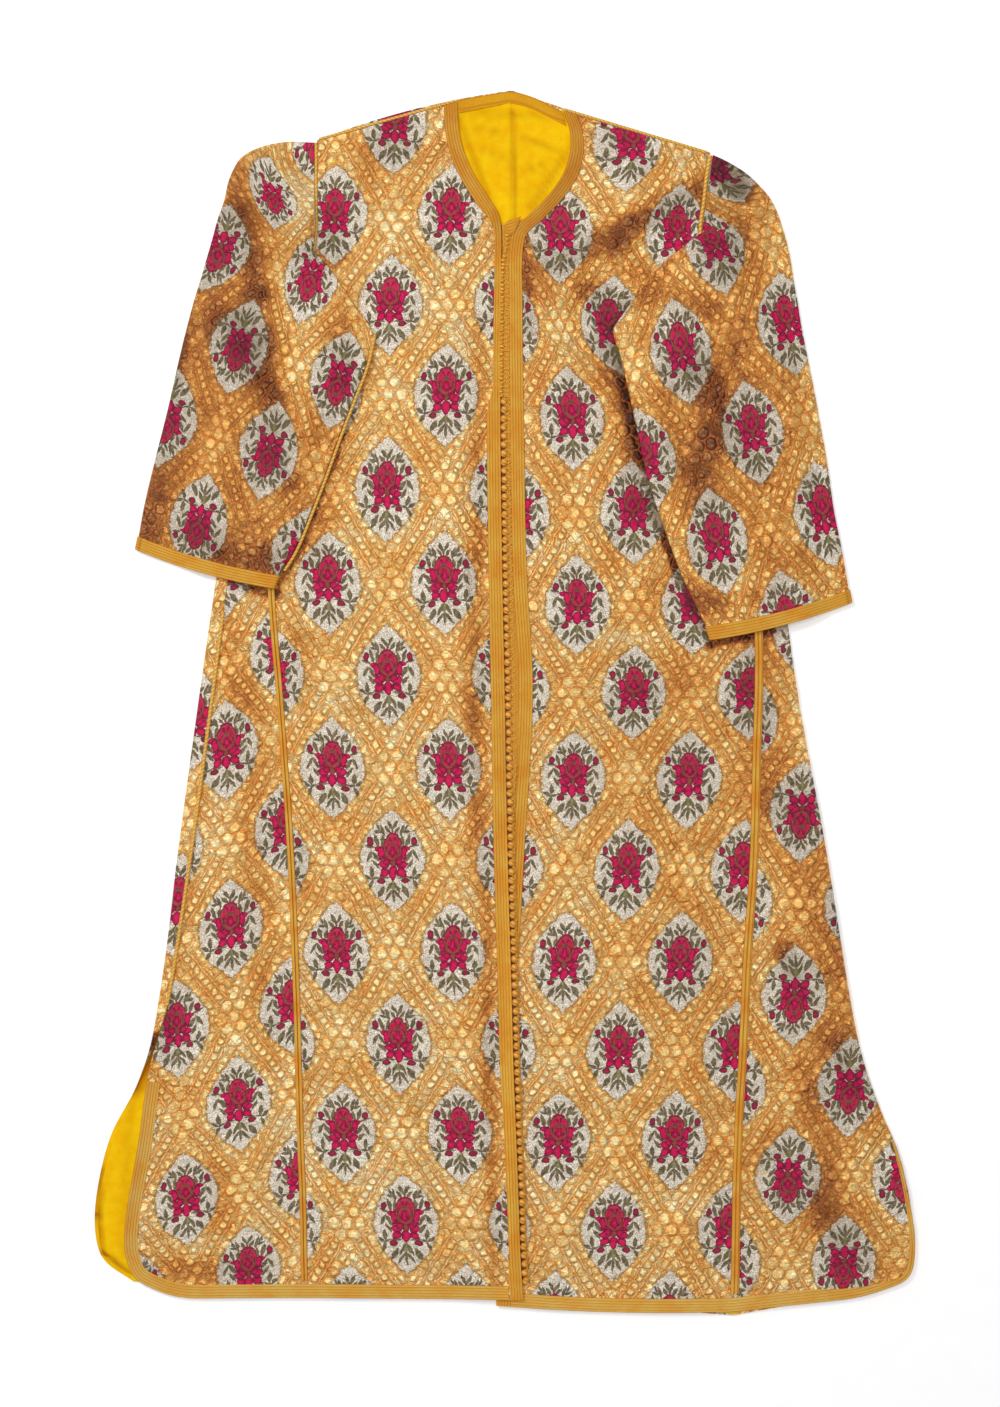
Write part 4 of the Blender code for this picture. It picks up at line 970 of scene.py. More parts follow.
def plain_lining():
    """Yellow cotton satin with a fine plain weave and soft creases."""
    g = Graph("lining")
    u, v = g.split(g.cloth())
    weave = g.wave(u, 0.8) * g.wave(v, 0.8)
    slub = g.noise(g.cloth(), 0.6, 3.0, 0.6, stretch=(0.15, 1.2))
    rumple = g.noise(g.cloth(), 0.06, 4.0, 0.55)
    colour = g.blend(g.step(rumple, 0.3, 0.7), srgb(250, 188, 0), srgb(255, 210, 10))
    colour = g.blend(slub * 0.22, colour, srgb(228, 154, 0))
    # painted shade from the mesh's tone
    colour = g.blend(g.tone() * 0.8, colour, srgb(176, 104, 0))
    relief = weave * 0.12 + rumple * 1.6 + slub * 0.3
    return g.finish(colour, slub * 0.15 + 0.58, 0.0, (relief, 0.5, 0.0012), Specular_IOR_Level=0.06)


def plain_floor():
    g = Graph("floor")
    speck = g.noise(g.node("TexCoord", {}, "Object"), 40.0, 3.0)
    colour = g.blend(speck, srgb(250, 250, 250), srgb(254, 254, 254))
    return g.finish(colour, 0.9, 0.0, Emission_Color=(1.0, 1.0, 1.0, 1.0), Emission_Strength=0.14)


BROCADE = brocade()
SFIFA = woven_braid("braid", 3.2, (252, 172, 50), (255, 200, 78), (186, 110, 24))
SFIFA_HEM = woven_braid("braid_hem", 3.2, (255, 186, 72), (255, 212, 108), (196, 126, 36))
CORDING_TAPE = woven_braid("braid_tape", 4.2, (250, 166, 50), (255, 204, 88), (184, 108, 24))
FACING = woven_braid("lining_facing", 11.0, (242, 172, 0), (250, 186, 6), (206, 134, 0))
CORDING = twisted_cord("braid_cord", 5.0, 0.25, (212, 150, 40), (246, 196, 84), (130, 74, 12))
KNOT_SILK = twisted_cord("knots", 2.4, 0.06, (214, 136, 38), (250, 184, 74), (130, 64, 10))
KNOT_PRESSED = twisted_cord("knot_pressed", 2.4, 0.0, (214, 136, 26), (255, 196, 64), (126, 64, 4))
KNOT_SHADE = twisted_cord("knot_shade", 3.0, 0.0, (84, 38, 6), (128, 70, 12), (40, 16, 2))
KNOT_BED = twisted_cord("knot_bed", 3.0, 0.0, (210, 136, 20), (244, 178, 44), (176, 100, 10))
PLAIN = plain_lining()

# ---------------------------------------------------------------- the panels' cloth


def pulled(px, py, across, along, bends):
    """The pattern's place, drawn aside by creases. Each is (x, y, radius, by x, by y)."""
    for bx, by, radius, dx, dy in bends:
        pull = np.exp(-((px - bx) ** 2 + (py - by) ** 2) / (2 * radius**2))
        across, along = across + dx * pull, along + dy * pull
    return across, along


def plan_of(lines, numbers, sign=1, slant=0.0, bends=()):
    """Cloth coordinates for a panel, as a function of plan x and y.
    lines gives the photograph's x of one column of medallions by y, numbers the medallion's number by
    y, and sign is below zero where the pattern stands on its head."""
    lines, numbers = np.array(lines, float).T, np.array(numbers, float).T

    def cloth(x, y):
        px, py = pixels(x, y)
        across = px - np.interp(py, *lines)
        across, along = pulled(px, py, across, py + slant * across, bends)
        return sign * np.stack([across * PIXEL, -np.interp(along, *numbers) * REPEAT_HIGH], -1)

    return cloth


def lattice_plan(place, right, left, sign=1, bends=()):
    """As plan_of, for a sleeve: one medallion's place, and the steps to the two below it."""
    turn = np.linalg.inv(np.array([right, left], float).T)

    def cloth(x, y):
        px, py = pixels(x, y)
        off = pulled(px, py, px - place[0], py - place[1], bends)
        one, two = (row[0] * off[0] + row[1] * off[1] for row in turn)
        return sign * np.stack([(one - two) * REPEAT_WIDE / 2, -(one + two) * REPEAT_HIGH / 2], -1)

    return cloth


def plain_plan(x, y):
    return np.stack([x, y], -1)


CLOTH = {
    True: plan_of(
        ((40, 455), (216, 451), (395, 446), (584, 444), (768, 449), (953, 453), (1133, 460), (1320, 468)),
        ((33, -1), (216, 0), (395, 1), (584, 2), (768, 3), (953, 4), (1133, 5), (1313, 6)),
    ),
    False: plan_of(
        ((50, 550), (234, 560), (419, 572), (607, 578), (778, 573), (962, 564), (1140, 558), (1330, 553)),
        ((52, -1), (234, 0), (419, 1), (607, 2), (778, 3), (962, 4), (1140, 5), (1320, 6)),
        bends=((608, 320, 34, 15.6, 0), (636, 140, 44, -19.3, 0)),
    ),
}
CLOTH_GORE_LEFT = plan_of(
    ((380, 216), (571, 222), (750, 227), (929, 231), (1104, 239), (1270, 249), (1330, 252)),
    ((389, -2), (571, -1), (750, 0), (929, 1), (1104, 2), (1270, 3), (1440, 4)),
    slant=0.2,
)
CLOTH_GORE_RIGHT = plan_of(
    ((380, 812), (630, 806), (811, 801), (996, 794), (1176, 788), (1340, 783)),
    ((448, -2), (630, -1), (811, 0), (996, 1), (1176, 2), (1350, 3)),
    sign=-1,
)
CLOTH_BACK_GORE_LEFT = plan_of(
    ((380, 216), (571, 206), (750, 192), (929, 176), (1104, 160), (1330, 150)),
    ((350, -2), (535, -1), (720, 0), (905, 1), (1090, 2), (1275, 3), (1460, 4)),
)
CLOTH_SLEEVE_LEFT = lattice_plan(
    (308.7, 275.7), (31.1, 104.9), (-70.1, 71.2), -1,
    ((240, 225, 50, -17, -6.7), (300, 160, 40, 30.5, -42.0)),
)
CLOTH_SLEEVE_RIGHT = lattice_plan(
    (680.5, 352.7), (71.4, 80.7), (-35.6, 108.9), 1, ((722, 168, 34, 37.4, -34.5),)
)

# ---------------------------------------------------------------- the panels

SHEETS = []  # (object, width, length, area, what it rests on), in millimetres
UNDER_LINING = ["lining_left_cloth", "lining_right_cloth"]


def row_points(rows, shares, bow=0.0):
    """Plan points across each row at the shares, where a row's middle bows out by bow."""
    x, y = rows[:, :1], rows[:, 1:2]
    dx, dy = rows[:, 2:3] - x, rows[:, 3:4] - y
    out = 4 * shares * (1 - shares) * np.reshape(bow, (-1, 1)) / row_width(rows)[:, None]
    return x + dx * shares - dy * out, y + dy * shares + dx * out


def front_points(left, distance):
    """Plan points at their distance from a front's edge, for each of its rows."""
    rows = spread(FRONTS[left])
    before_hem = np.arange(len(rows))[::-1] - counted(FRONTS[left])[-1]
    bow = 0.0 if left else -HEM_BOW_RIGHT * ease(1 - before_hem / 3.0)
    return row_points(rows, distance / row_width(rows)[:, None], bow)


def plan_area(x, y):
    """Area of a grid of plan points."""
    ax, ay = x[1:, 1:] - x[:-1, :-1], y[1:, 1:] - y[:-1, :-1]
    bx, by = x[1:, :-1] - x[:-1, 1:], y[1:, :-1] - y[:-1, 1:]
    return float(np.abs(ax * by - ay * bx).sum() / 2)


def length_of(y):
    """How far a panel's points reach from end to end."""
    return float(y.max() - y.min())


def cloth_panel(name, x, y, z, cloth, rests_on):
    top, low = np.stack([x, y, z], -1), np.stack([x, y, z - THIN], -1)
    made = shell_of(name + "_cloth", top, low, cloth(x, y), painted_shading(x, y, SHADE_STROKES), BROCADE)
    dress(made, name)
    area = plan_area(x, y) * IN_CREASES
    wide = np.hypot(x[:, -1] - x[:, 0], y[:, -1] - y[:, 0]).max() * IN_CREASES
    tall = max(np.hypot(x[-1, k] - x[0, k], y[-1, k] - y[0, k]) for k in (0, -1)) * IN_CREASES
    SHEETS.append((made, wide, max(tall, area / wide), area, rests_on))


def front(left):
    width = row_width(spread(FRONTS[left]))[:, None]
    columns = math.ceil((width.max() - BRAID_WIDTH) / PITCH)
    under_braid = np.tile(np.linspace(0, BRAID_WIDTH, 5)[:-1], (len(width), 1))
    beyond = BRAID_WIDTH + (width - GAP / 2 - BRAID_WIDTH) * np.linspace(0, 1, columns + 1)
    x, y = front_points(left, np.concatenate([under_braid, beyond], 1))
    cloth_panel("front_" + TAGS[left], x, y, body_top(x, y, left), CLOTH[left], UNDER_LINING)


def rounded(side, seam, reach=34.0, steps=9):
    """An outer edge whose last corner is a soft curve that ends on the hem."""
    corner = side[-1].copy()
    on_hem = corner + (seam - corner) * reach / np.hypot(*(seam - corner))
    t = np.linspace(0, 1, steps + 1)[:, None]
    side[-steps - 1 :] = (1 - t) ** 2 * side[-steps - 1] + 2 * t * (1 - t) * corner + t * t * on_hem
    return side


def gore_seams(left):
    """Rows from a front's seam to its gore's outer edge, in step with each other."""
    seam, side = [row[2:] for row in FRONTS[left]], GORES[left]
    counts = counted(seam)
    shared = [max(pair) for pair in zip(counts[UNDERARM:], counted(side))]
    seam = spread(seam, counts=counts[:UNDERARM] + shared)[-sum(shared) - 1 :]
    return np.concatenate([seam, rounded(spread(side, counts=shared), seam[-1])], 1)


def front_gore_left():
    rows = gore_seams(True)
    width = row_width(rows)
    start, end = ((GAP / 2) / width)[:, None], (1 - GAP / width)[:, None]
    shares = start + (end - start) * np.linspace(0, 1, math.ceil(width.max() / PITCH) + 1)
    x, y = row_points(rows, shares)
    under = ["back_gore_left_cloth", *UNDER_LINING]
    cloth_panel("front_gore_left", x, y, body_top(x, y, True), CLOTH_GORE_LEFT, under)


def turned(name, rows, ground, thickness, cloth, rests_on, columns, inside=None):
    """A panel that turns round a side fold. Each row is (start x, y, outline x, y, turn, tail, target),
    and ground(x, y) the height of the cloth's middle before the turn."""
    bend_steps = np.arange(1, 9) / 8
    tail_steps = np.linspace(0, 1, 6)[1:]
    grid, ways, flat = [], [], []
    for sx, sy, ox, oy, turn, tail, target in rows:
        out = 1.0 if ox > sx else -1.0
        angle = math.radians(turn)
        radius = abs(target - float(ground(ox, sy))) / 2
        reach = radius if turn >= 90 else radius * math.sin(angle) + tail * math.cos(angle)
        bend = ox - out * reach
        base = float(ground(bend, sy))
        side = 1.0 if target > base else -1.0
        first = sx + out * GAP / 2
        a = angle * bend_steps
        x = [first + (bend - first) * np.linspace(0, 1, columns), bend + out * radius * np.sin(a)]
        z = [ground(x[0], np.full(columns, sy)), base + (target - base) / 2 * (1 - np.cos(a))]
        x.append(x[1][-1] + out * tail * math.cos(angle) * tail_steps)
        z.append(np.maximum(thickness / 2, z[1][-1] + side * tail * math.sin(angle) * tail_steps))
        x, z = np.concatenate(x), np.concatenate(z)
        a = np.concatenate([np.zeros(columns), a, np.full(len(tail_steps), angle)])
        grid.append(np.stack([x, sy + (oy - sy) * (x - sx) / (ox - sx), z], -1))
        ways.append(np.stack([-side * out * np.sin(a), 0 * a, np.cos(a)], -1))
        flat.append(sx + out * run_of(np.stack([x, z], -1)))
    grid, half, flat = np.array(grid), np.array(ways) * thickness / 2, np.array(flat)
    x, y = grid[..., 0], grid[..., 1]
    tone = painted_shading(x, y, LINING_SHADE_STROKES if inside else SHADE_STROKES)
    made = shell_of(
        name + "_cloth", grid + half, grid - half, cloth(x, y), tone, inside or BROCADE,
        BROCADE if inside else None,
    )
    dress(made, name)
    wide = np.abs(flat[:, -1] - flat[:, 0]).max() * IN_CREASES
    SHEETS.append((made, wide, length_of(y), plan_area(flat, y) * IN_CREASES, rests_on))


def front_gore_right():
    """The right front gore, which turns under at its side down to the slit."""
    rows = []
    for *places, y in gore_seams(False):
        turn = 180 * (1 - float(ease((UNTURN_AT - y) / UNTURN_OVER)))
        rows.append((*places, y, turn, TAIL * float(ease((y - UNTURN_AT) / 60)) + 1.0, FRONT / 2))

    def ground(x, y):
        return body_top(x, y, False) - THIN / 2

    turned("front_gore_right", rows, ground, THIN, CLOTH_GORE_RIGHT, UNDER_LINING, 40)


def back_gore_left():
    """The left back gore, which turns up round the side fold and meets the front gore on top."""
    side, back = spread(GORE_LEFT), np.array(BACK_LEFT, float)[:, 1:]
    rows = []
    table = [(x, y, seam_y, turn) for seam_y, x, y, turn in BACK_GORE_LEFT]
    for x, y, seam_y, turn in spread(table):
        top = float(body_top(x, y, True, fine=False))
        turn = min(180.0, max(0.0, turn))
        reach = max(1.0, float(down(side, y)) - x - (top - BACK) / 2 - GAP)
        tail = 1.0 + (reach - 1.0) * float(ease((turn - 90) / 90))
        rows.append((float(down(back, seam_y)), seam_y, x, y, turn, tail, top - BACK / 2))

    def ground(x, y):
        return np.full_like(np.asarray(x, float), BACK / 2)

    under = ["lining_left_cloth"]
    turned("back_gore_left", rows, ground, THIN + 0.3, CLOTH_BACK_GORE_LEFT, under, 26, PLAIN)


def flat_cloth(name, table, low, thickness, relief, bow=0.0, lining=False, rests_on=()):
    """A panel that lies flat at the height low."""
    pitch = 8.0 if lining else 11.0
    rows = spread(table, pitch)
    width = row_width(rows)
    seam = ((0.02 if lining else GAP / 2) / width)[:, None]
    shares = seam + (1 - 2 * seam) * np.linspace(0, 1, math.ceil(width.max() / pitch) + 1)
    sign = 1 if rows[0, 2] > rows[0, 0] else -1
    x, y = row_points(rows, shares, bow * sign * ease(1 - np.arange(len(rows)) * pitch / 60))
    z = low + thickness + relief(x, y)
    top, under = np.stack([x, y, z], -1), np.stack([x, y, z - thickness], -1)
    tone = painted_shading(x, y, LINING_SHADE_STROKES) if lining else np.zeros_like(x)
    uv = plain_plan(x, y) if lining else CLOTH[True](x, y)  # the hidden back repeats the front's cut
    made = shell_of(name + "_cloth", top, under, uv, tone, PLAIN if lining else BROCADE)
    dress(made, name)
    wide = width.max() * IN_CREASES
    SHEETS.append((made, wide, length_of(y), plan_area(x, y) * IN_FLAT, list(rests_on)))


def neck_relief(x, y):
    """The back lining's creases where the neck shows it."""
    fold = 1.7 * ease(1 - np.abs(x - 3.5) / 6.5)
    shown = np.minimum(2.0, fold + ridges(NECK_CREASES, x, y))
    return ease((y - 480) / 60) * shown + 0.25 * ripple(x, y, 9)


def flat_layers():
    """The back, its right gore and its lining."""
    halves = (
        ("left", BACK_LEFT, LINING_LEFT, BACK_BOW_LEFT, 21),
        ("right", BACK_RIGHT, LINING_RIGHT, BACK_BOW_RIGHT, 22),
    )
    for tag, table, _, bow, seed in halves:
        rows = [(CENTRE_BACK, *row) for row in table]
        flat_cloth("back_" + tag, rows, 0.0, BACK, lambda x, y: 0.12 * ripple(x, y, seed), bow)
    side = np.array(BACK_RIGHT, float)[:, 1:]
    gore = [(float(down(side, seam_y)), seam_y, x, y) for seam_y, x, y in BACK_GORE_RIGHT]
    flat_cloth("back_gore_right", gore, 0.0, BACK, lambda x, y: 0.0 * x)
    for tag, _, table, bow, _ in halves:
        rows = [(CENTRE_BACK, *row) for row in table]
        under = ["back_left_cloth", "back_right_cloth"]
        flat_cloth("lining_" + tag, rows, Z_LINING, LINING, neck_relief, bow, True, under)


# ---------------------------------------------------------------- sleeves


def off_body(x, y, left):
    """How far points lie out from the body's side edge, 0 over the body."""
    side = BODY_SIDES[left]
    inwards = (x - down(side, y)) * (1 if left else -1) >= 0
    far = np.min([stroke(x, y, *a, *b)[0] for a, b in zip(side, side[1:])], axis=0)
    return np.where((y <= side[0][1]) & inwards, 0.0, far)


def sleeve_rings(rows, left, folds, cuff, out, seed=None, across=44, nose=4):
    """Cross sections of a sleeve, as the CAD draws them, each moved outwards by its own out."""
    rings = []
    for row, near, by in zip(rows, cuff, out):
        (x0, y0), (dx, dy) = row[:2], row[2:4] - row[:2]
        width = float(np.hypot(dx, dy))
        bow = -CUFF_BOW * near * (1 if dx > 0 else -1)

        def at(d):
            t = np.asarray(d, float) / width
            o = 4 * t * (1 - t) * bow / width
            return x0 + dx * t - dy * o, y0 + dy * t + dx * o

        def low(x, y):
            drop = ease((off_body(x, y, left) - DROP_NEAR) / (DROP_FAR - DROP_NEAR))
            return Z_SLEEVE * (1 - drop) + (GAP + CUFF_BRAID + 0.1) * near

        def high(x, y, d):
            inside = np.minimum(d, width - d)
            z = low(x, y) + SLEEVE_FLAT + ridges(folds, x, y) * ease((inside - 4) / 30)
            if seed is not None:
                z += crinkles(x, y, seed, 1.5, 0.95) * ease((inside - 3) / 12) * (1 - near)
            return z

        def round_edge(d, facing):
            """The middle of the round at one edge of the pressed tube, and its points."""
            x, y = at([d])
            base = low(x, y)[0]
            radius = (high(x, y, np.array([d]))[0] - base) / 2
            middle = d - facing * radius
            a = math.pi * (np.arange(nose + 1) / nose - facing / 2)
            points = *at(middle + (radius + by) * np.cos(a)), base + radius + (radius + by) * np.sin(a)
            return middle, points

        start, first = round_edge(0.0, -1)
        stop, last = round_edge(width, 1)
        d = start + (stop - start) * np.arange(1, across) / across
        x, y = at(d)
        under, over = (x, y, low(x, y) - by), (x, y, high(x, y, d) + by)
        parts = [np.stack(part, -1) for part in (first, under, last, over)]
        rings.append(np.concatenate([*parts[:3], parts[3][::-1]]))
    return np.array(rings)


def sleeve(left, table, folds, cloth, tones, seed):
    tag, rows, last = TAGS[left], spread(table), len(table) - 1
    numbers = np.concatenate([i + np.arange(c) / c for i, c in enumerate(counted(table))] + [[last]])
    cuff = ease((numbers - last + 4) / 3)
    outer, inner = (
        sleeve_rings(rows, left, folds, cuff, np.full(len(rows), out), seed) for out in (0.0, -THIN)
    )
    x, y = outer[..., 0], outer[..., 1]
    name, tone = f"sleeve_{tag}_cloth", painted_shading(x, y, tones)
    made = shell_of(name, outer, inner, cloth(x, y), tone, BROCADE, PLAIN, wrap=True)
    dress(made, "sleeve_" + tag)
    around = 2 * row_width(rows).max()
    length = run_of(rows[:, :2])[-1]
    grid = row_points(rows, np.tile(np.linspace(0, 1, 12), (len(rows), 1)))
    area = 2 * plan_area(*grid) * IN_SLEEVE
    SHEETS.append((made, around, max(length, area / around), area, [f"front_{tag}_cloth"]))

    # the braid round the cuff
    steps = np.linspace(0, 1, 25)
    band = table[-2] + np.subtract(table[-1], table[-2]) * steps[:, None]
    rib = 0.72 + 0.28 * np.abs(np.cos(steps * 5 * math.pi)) ** 0.7
    rim = np.minimum(1, np.minimum(steps, 1 - steps) / 0.05) * 0.5 + 0.5
    raised, under = (
        sleeve_rings(band, left, folds, np.ones(len(steps)), out, None, 60, 6)
        for out in (GAP + CUFF_BRAID * rib * rim, np.full(len(steps), GAP))
    )
    v, u = np.meshgrid(run_of(raised[0, :, :2]), steps * BRAID_WIDTH)
    tone = np.zeros_like(u)
    made = shell_of(f"cuff_band_{tag}", raised, under, np.stack([u, v], -1), tone, SFIFA, wrap=True)
    dress(made, "cuff_braid_" + tag)


# ---------------------------------------------------------------- braid, piping and buttons


def between(one, other, shares):
    """x and y between two lines of plan points at the shares across."""
    return [one[:, k : k + 1] + (other - one)[:, k : k + 1] * shares for k in (0, 1)]


def ribbon(name, node, one, other, ground, profile, material, count=26):
    """A braid between two lines of plan points, lying on ground(x, y). profile gives its height by the
    share across."""
    shares = np.linspace(0, 1, count)
    x, y = between(one, other, shares)
    low = ground(x, y) + GAP
    width = np.hypot(*(other - one).T)[:, None]
    u, v = np.broadcast_arrays(shares * width, run_of((one + other) / 2)[:, None])
    top, bottom = np.stack([x, y, low + profile(shares)], -1), np.stack([x, y, low], -1)
    made = shell_of(name, top, bottom, np.stack([u, v], -1), painted_shading(x, y, BRAID_SHADE_STROKES), material)
    dress(made, node)


def ribbed(s):
    """The height of a braid with five ribs, crowned from edge to edge."""
    crown = 0.8 + (BRAID - 0.8) * np.sqrt(np.clip(1 - (2 * s - 1) ** 2, 0, 1)) ** 0.5
    return crown - 0.5 * (1 - np.abs(np.cos(s * 5 * math.pi)) ** 0.6)


def two_cords(s):
    """The height of two cords side by side."""
    local = np.where(s >= 1.0, 1.0, 2 * ((2 * s) % 1.0) - 1)
    return 0.35 + 1.15 * np.sqrt(np.clip(1 - local**2, 0, 1))


def front_braids():
    for left, tag in TAGS.items():
        wide = np.full(len(EDGE[left]), BRAID_WIDTH)
        if left:
            wide = np.interp(-EDGE[left][:, 1], *np.array(LEFT_BRAID_WIDE).T)
        one, other = (np.concatenate(front_points(left, d), 1) for d in (0.0, wide[:, None]))
        ribbon("front_band_" + tag, "braid_front_" + tag, one, other, on_front(left), ribbed, SFIFA)


def gore_tapes():
    for left, sway in ((True, 0.0), (False, 0.7)):
        rows, half = gore_seams(left), TAPE[left]
        seam, side = rows[:, :2], rows[:, 2:]
        edge = np.stack([down(EDGE[left], seam[:, 1]), seam[:, 1]], -1)
        out, back = (way / np.hypot(*way.T)[:, None] for way in (side - seam, edge - seam))
        keep = seam[:, 1] > seam[-1, 1] + TAPE_SHORT
        sway = sway * np.sin(seam[:, 1:2] / 38.0)
        one, other = (seam + back * (half - sway))[keep], (seam + out * (half + sway))[keep]
        name, node = "gore_tape_" + TAGS[left], "tape_gore_" + TAGS[left]
        ribbon(name, node, one, other, on_front(left), two_cords, CORDING_TAPE, count=17)


def hem_bands():
    """Braid along each front's hem, round its gore's corner and up the slit."""
    for left, inside in ((True, (-229, -560)), (False, (263, -560))):
        rows = spread(FRONTS[left])
        width, corner = row_width(rows)[-1], rows[-1, 2:4]
        shares = np.linspace((BRAID_WIDTH + GAP) / width, 1 - 3.4 / width, 7)
        x, y = row_points(rows, np.tile(shares, (len(rows), 1)), 0.0 if left else -HEM_BOW_RIGHT)
        above_hem = -1 - counted(FRONTS[left])[-1]
        outer, inner = (np.stack([x[row], y[row]], -1) for row in (-1, above_hem))
        slit = rounded(spread(GORES[left]), corner)
        slit = slit[slit[:, 1] < SLIT_TOP[left]]
        hem = [corner + (slit[-1] - corner) * t for t in (0.25, 0.5, 0.75)]
        edge = np.concatenate([hem, slit[::-3]])
        way = np.gradient(edge, axis=0)
        normal = np.stack([way[:, 1], -way[:, 0]], -1) / np.hypot(*way.T)[:, None]
        normal *= np.sign(((inside - edge) * normal).sum(1))[:, None]
        wide = np.full(len(edge), BRAID_WIDTH - 0.3)
        if not left:
            up_slit = np.interp(-edge[:, 1], *np.array(SLIT_BRAID_WIDE).T)
            at_corner = np.interp(edge[:, 0], *np.array(CORNER_BRAID_WIDE).T)
            wide = np.where(edge[:, 1] < CORNER_TOP, at_corner, up_slit)
        outer = np.concatenate([outer, edge + normal * GAP])
        inner = np.concatenate([inner, edge + normal * wide[:, None]])
        counts = counted(outer, 4.0)
        one, other = spread(outer, counts=counts), spread(inner, counts=counts)
        name, node = "hem_band_" + TAGS[left], "braid_hem_" + TAGS[left]
        ribbon(name, node, one, other, on_front(left, fine=False), ribbed, SFIFA_HEM)


def neck_facing():
    rows = spread(NECK_BAND, 3.0)
    ribbon(
        "neck_facing", "neck_band", rows[:, :2], rows[:, 2:4], lambda x, y: 0 * x + Z_LINING + LINING,
        lambda s: 1.9 - 0.5 * (2 * s - 1) ** 4, FACING, 9,
    )


def cord_of(name, node, line, z, radius):
    """A laid cord with closed ends, along a line of plan points at the heights z."""
    line = np.column_stack([line, np.broadcast_to(z, len(line))])
    points, faces, uv = cord_along(line, radius, 10)
    ring = list(range(11))
    faces += [ring[::-1], [len(points) - 11 + k for k in ring]]
    dress(build(name, points, outwards(points, faces), uv, None, (CORDING,)), node)


def pipings():
    # (left, lowest y of the armhole's cord, how far out it lies)
    for left, low, out in ((True, 514, -1.9), (False, 534, 2.6)):
        tag, table = TAGS[left], FRONTS[left]
        a, b = np.array(table[0][:2], float), np.array(table[0][2:], float)
        line = a + (b - a) * np.linspace(0.01, 0.99, 44)[:, None] + (0, 2.0)
        cord_of("shoulder_cord_" + tag, "piping_shoulder_" + tag, line, Z_FRONT + 1.6, SHOULDER_CORD)
        hole = spread([row[2:] for row in table[:5]], 4.0)
        line = hole[hole[:, 1] > low] + (out, -1.5)
        cord_of("armhole_cord_" + tag, "piping_armhole_" + tag, line, FRONT_TOP - 0.3, ARMHOLE_CORD[left])
    seam = spread(GORE_LEFT)
    seam = seam[(seam[:, 1] < 105) & (seam[:, 1] > -350)]
    z = body_top(*seam.T, True, fine=False) + GAP + 1.9
    cord_of("side_cord_left", "piping_side_left", seam, z, SIDE_CORD)
    rows = spread(SLEEVE_LEFT[UNDERARM_SEAM])[:-2]
    out = (rows[:, 2:4] - rows[:, :2]) / row_width(rows)[:, None]
    line, z = rows[:, 2:4] + out * 2.1, Z_SLEEVE + SLEEVE_FLAT - 1.6
    cord_of("underarm_cord_left", "piping_underarm_left", line, z, UNDERARM_CORD)


def ball(centre, size, turn, rings=8, around=12):
    """Points, faces and uv of a knot: a ball with the swell of a thread wound round it."""
    i, j = np.meshgrid(np.arange(rings + 1), np.arange(around + 1), indexing="ij")
    t, a = math.pi * i / rings, 2 * math.pi * j / around
    swell = (1 + 0.06 * np.sin(3 * a + 5 * t + turn)) * np.sin(t)
    unit = np.stack([swell * np.cos(a), np.cos(t), swell * np.sin(a)], -1)
    points = np.array(centre) + np.array(size) * unit
    uv = np.stack([j / around, 6.0 * i / rings + turn], -1)
    return points.reshape(-1, 3), grid_faces(rings + 1, around + 1), uv.reshape(-1, 2)


def strip(x, y, z, uv, flip=True):
    """Points, faces and uv of one open layer, from grids of places."""
    x, y, z = np.broadcast_arrays(x, y, z)
    uv = np.stack(np.broadcast_arrays(*uv), -1).reshape(-1, 2)
    return np.stack([x, y, z], -1).reshape(-1, 3), grid_faces(*x.shape, flip=flip), uv


